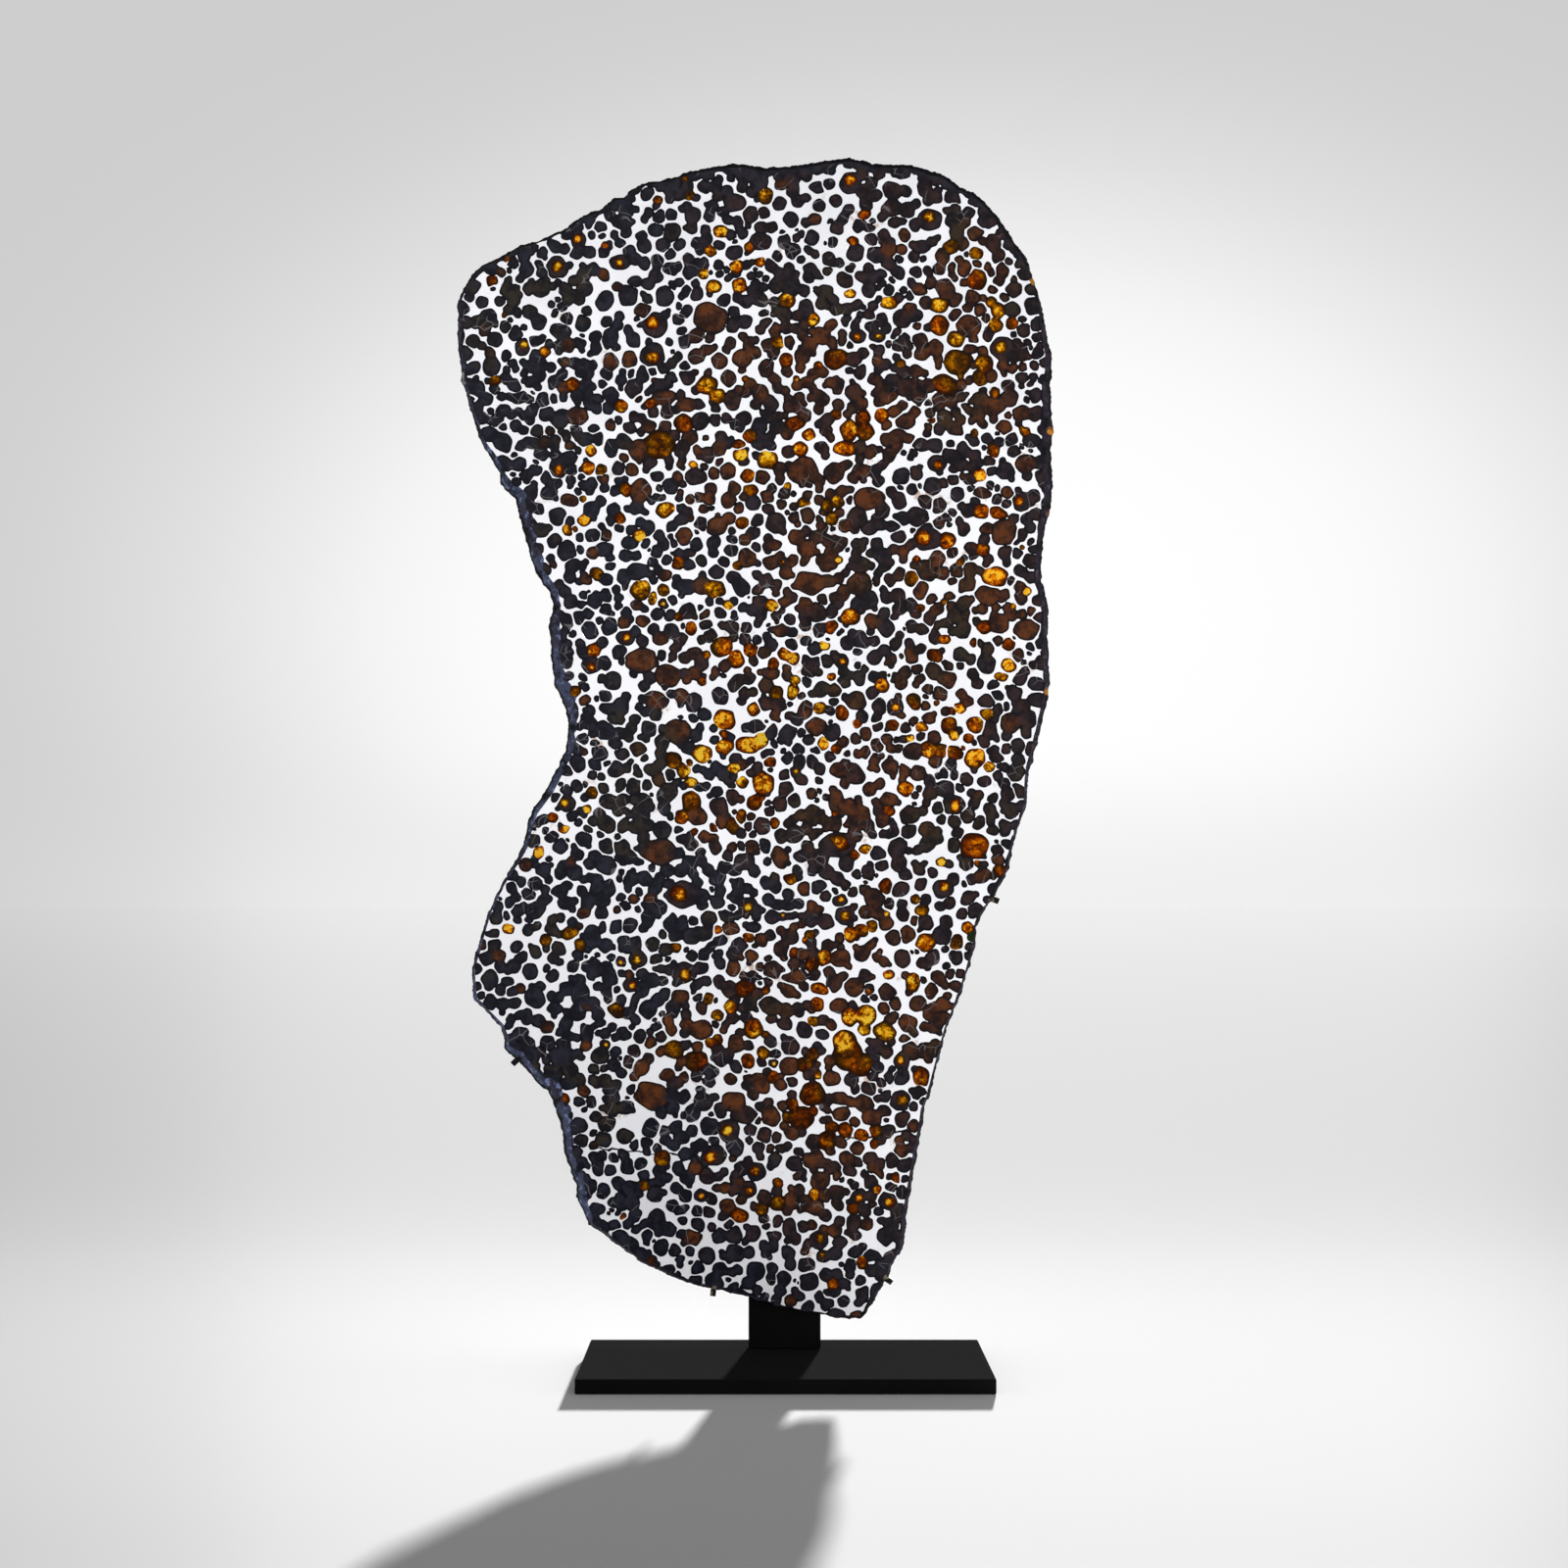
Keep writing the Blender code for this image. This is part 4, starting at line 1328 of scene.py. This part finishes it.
def curve_of(tree, source, points, low, high):
    """A smooth curve through the points, read where source lies between low and high."""
    made = node(tree, "FloatCurve")
    line = made.mapping.curves[0]
    stops = [((at - low) / (high - low), value) for at, value in points]
    for stop in stops[1:-1]:
        line.points.new(*stop)
    line.points[0].location = stops[0]
    line.points[-1].location = stops[-1]
    made.mapping.update()
    share = node(tree, "MapRange")
    share.inputs["From Min"].default_value = low
    share.inputs["From Max"].default_value = high
    tree.links.new(source, share.inputs["Value"])
    tree.links.new(share.outputs["Result"], made.inputs["Value"])
    return made.outputs["Value"]


def mixed(tree, share, first, second):
    """Two numbers mixed by share."""
    made = node(tree, "Mix", {"data_type": "FLOAT"})
    for socket, value in zip((0, 2, 3), (share, first, second)):
        tree.links.new(value, made.inputs[socket])
    return made.outputs[0]


floor_material, tree, shader = start_material("pale_floor", 0.7)
shader.inputs["Specular IOR Level"].default_value = 0.0
# Painted light: the floor's colour is darker to the sides and further off
at = axes_of(tree, place(tree))
away = reckon(tree, "MAXIMUM", reckon(tree, "SUBTRACT", at["Y"], LIT_FROM_Y), NEAREST)
sideways = curve_of(tree, reckon(tree, "DIVIDE", at["X"], away), FALL_OFF, -SIDE_LIMIT, SIDE_LIMIT)
far = reckon(tree, "SUBTRACT", 1.0, reckon(tree, "DIVIDE", -LIT_FROM_Y, away))
paleness_and_painted_falloff = curve_of(tree, far, FLOOR_PALE_AND_PAINTED_FALLOFF, FLOOR_PALE_AND_PAINTED_FALLOFF[0][0], FLOOR_PALE_AND_PAINTED_FALLOFF[-1][0])
tree.links.new(product(tree, paleness_and_painted_falloff, sideways), shader.inputs["Base Color"])
floor_mesh = bpy.data.meshes.new("floor")
half = FLOOR_SIZE / 2
floor_mesh.from_pydata([(-half, -half, 0), (half, -half, 0), (half, half, 0), (-half, half, 0)],
                       [], [(0, 1, 2, 3)])
floor = bpy.data.objects.new("floor", floor_mesh)
floor.data.materials.append(floor_material)
floor.location.z = -FLOOR_DROP
scene.collection.objects.link(floor)

world = bpy.data.worlds.new("studio_sky")
scene.world = world
world.use_nodes = True
tree = world.node_tree
sky = tree.nodes["Background"]
sky.inputs["Color"].default_value = (1.0, 1.0, 1.0, 1)
sky_way = node(tree, "TexCoord").outputs["Generated"]
way = axes_of(tree, sky_way)
overhead = span(tree, way["Z"], *OVERHEAD_FROM, SKY_FRONT, SKY_OVERHEAD)
glow_off = distance_from(tree, sky_way, *GLOW_MIDDLE, GLOW_FLATNESS)
glow = curve_of(tree, glow_off, GLOW, 0.0, 1.0)
sideways = curve_of(tree, reckon(tree, "DIVIDE", way["X"], way["Y"]),
                    FALL_OFF, -SIDE_LIMIT, SIDE_LIMIT)
horizon = product(tree, sideways, SKY_HORIZON)
behind = mixed(tree, span(tree, way["Z"], *HORIZON_BAND, 0, 1), horizon, glow)
facing = span(tree, way["Y"], *BEHIND_FROM, 0, 1)
tree.links.new(mixed(tree, facing, overhead, behind), sky.inputs["Strength"])

sun_data = bpy.data.lights.new("low_back_light", "SUN")
sun_data.angle = math.radians(SUN_WIDTH)
sun_data.energy = SUN_STRENGTH
sun = bpy.data.objects.new("low_back_light", sun_data)
sun.rotation_euler = Vector(SUN_WAY).to_track_quat("-Z", "Y").to_euler()
scene.collection.objects.link(sun)

camera_data = bpy.data.cameras.new("camera")
camera_data.sensor_width = SENSOR_MM
camera_data.lens = FOCAL_PIXELS / IMAGE_SIZE * SENSOR_MM
camera_data.shift_x = 0.5 - AXIS_PIXEL[0] / IMAGE_SIZE
camera_data.shift_y = AXIS_PIXEL[1] / IMAGE_SIZE - 0.5
camera_data.clip_end = 1000
camera = bpy.data.objects.new("camera", camera_data)
camera.location = CAMERA_AT
camera.rotation_euler = (math.pi / 2, 0, 0)
scene.collection.objects.link(camera)
scene.camera = camera
scene.view_settings.view_transform = "Standard"
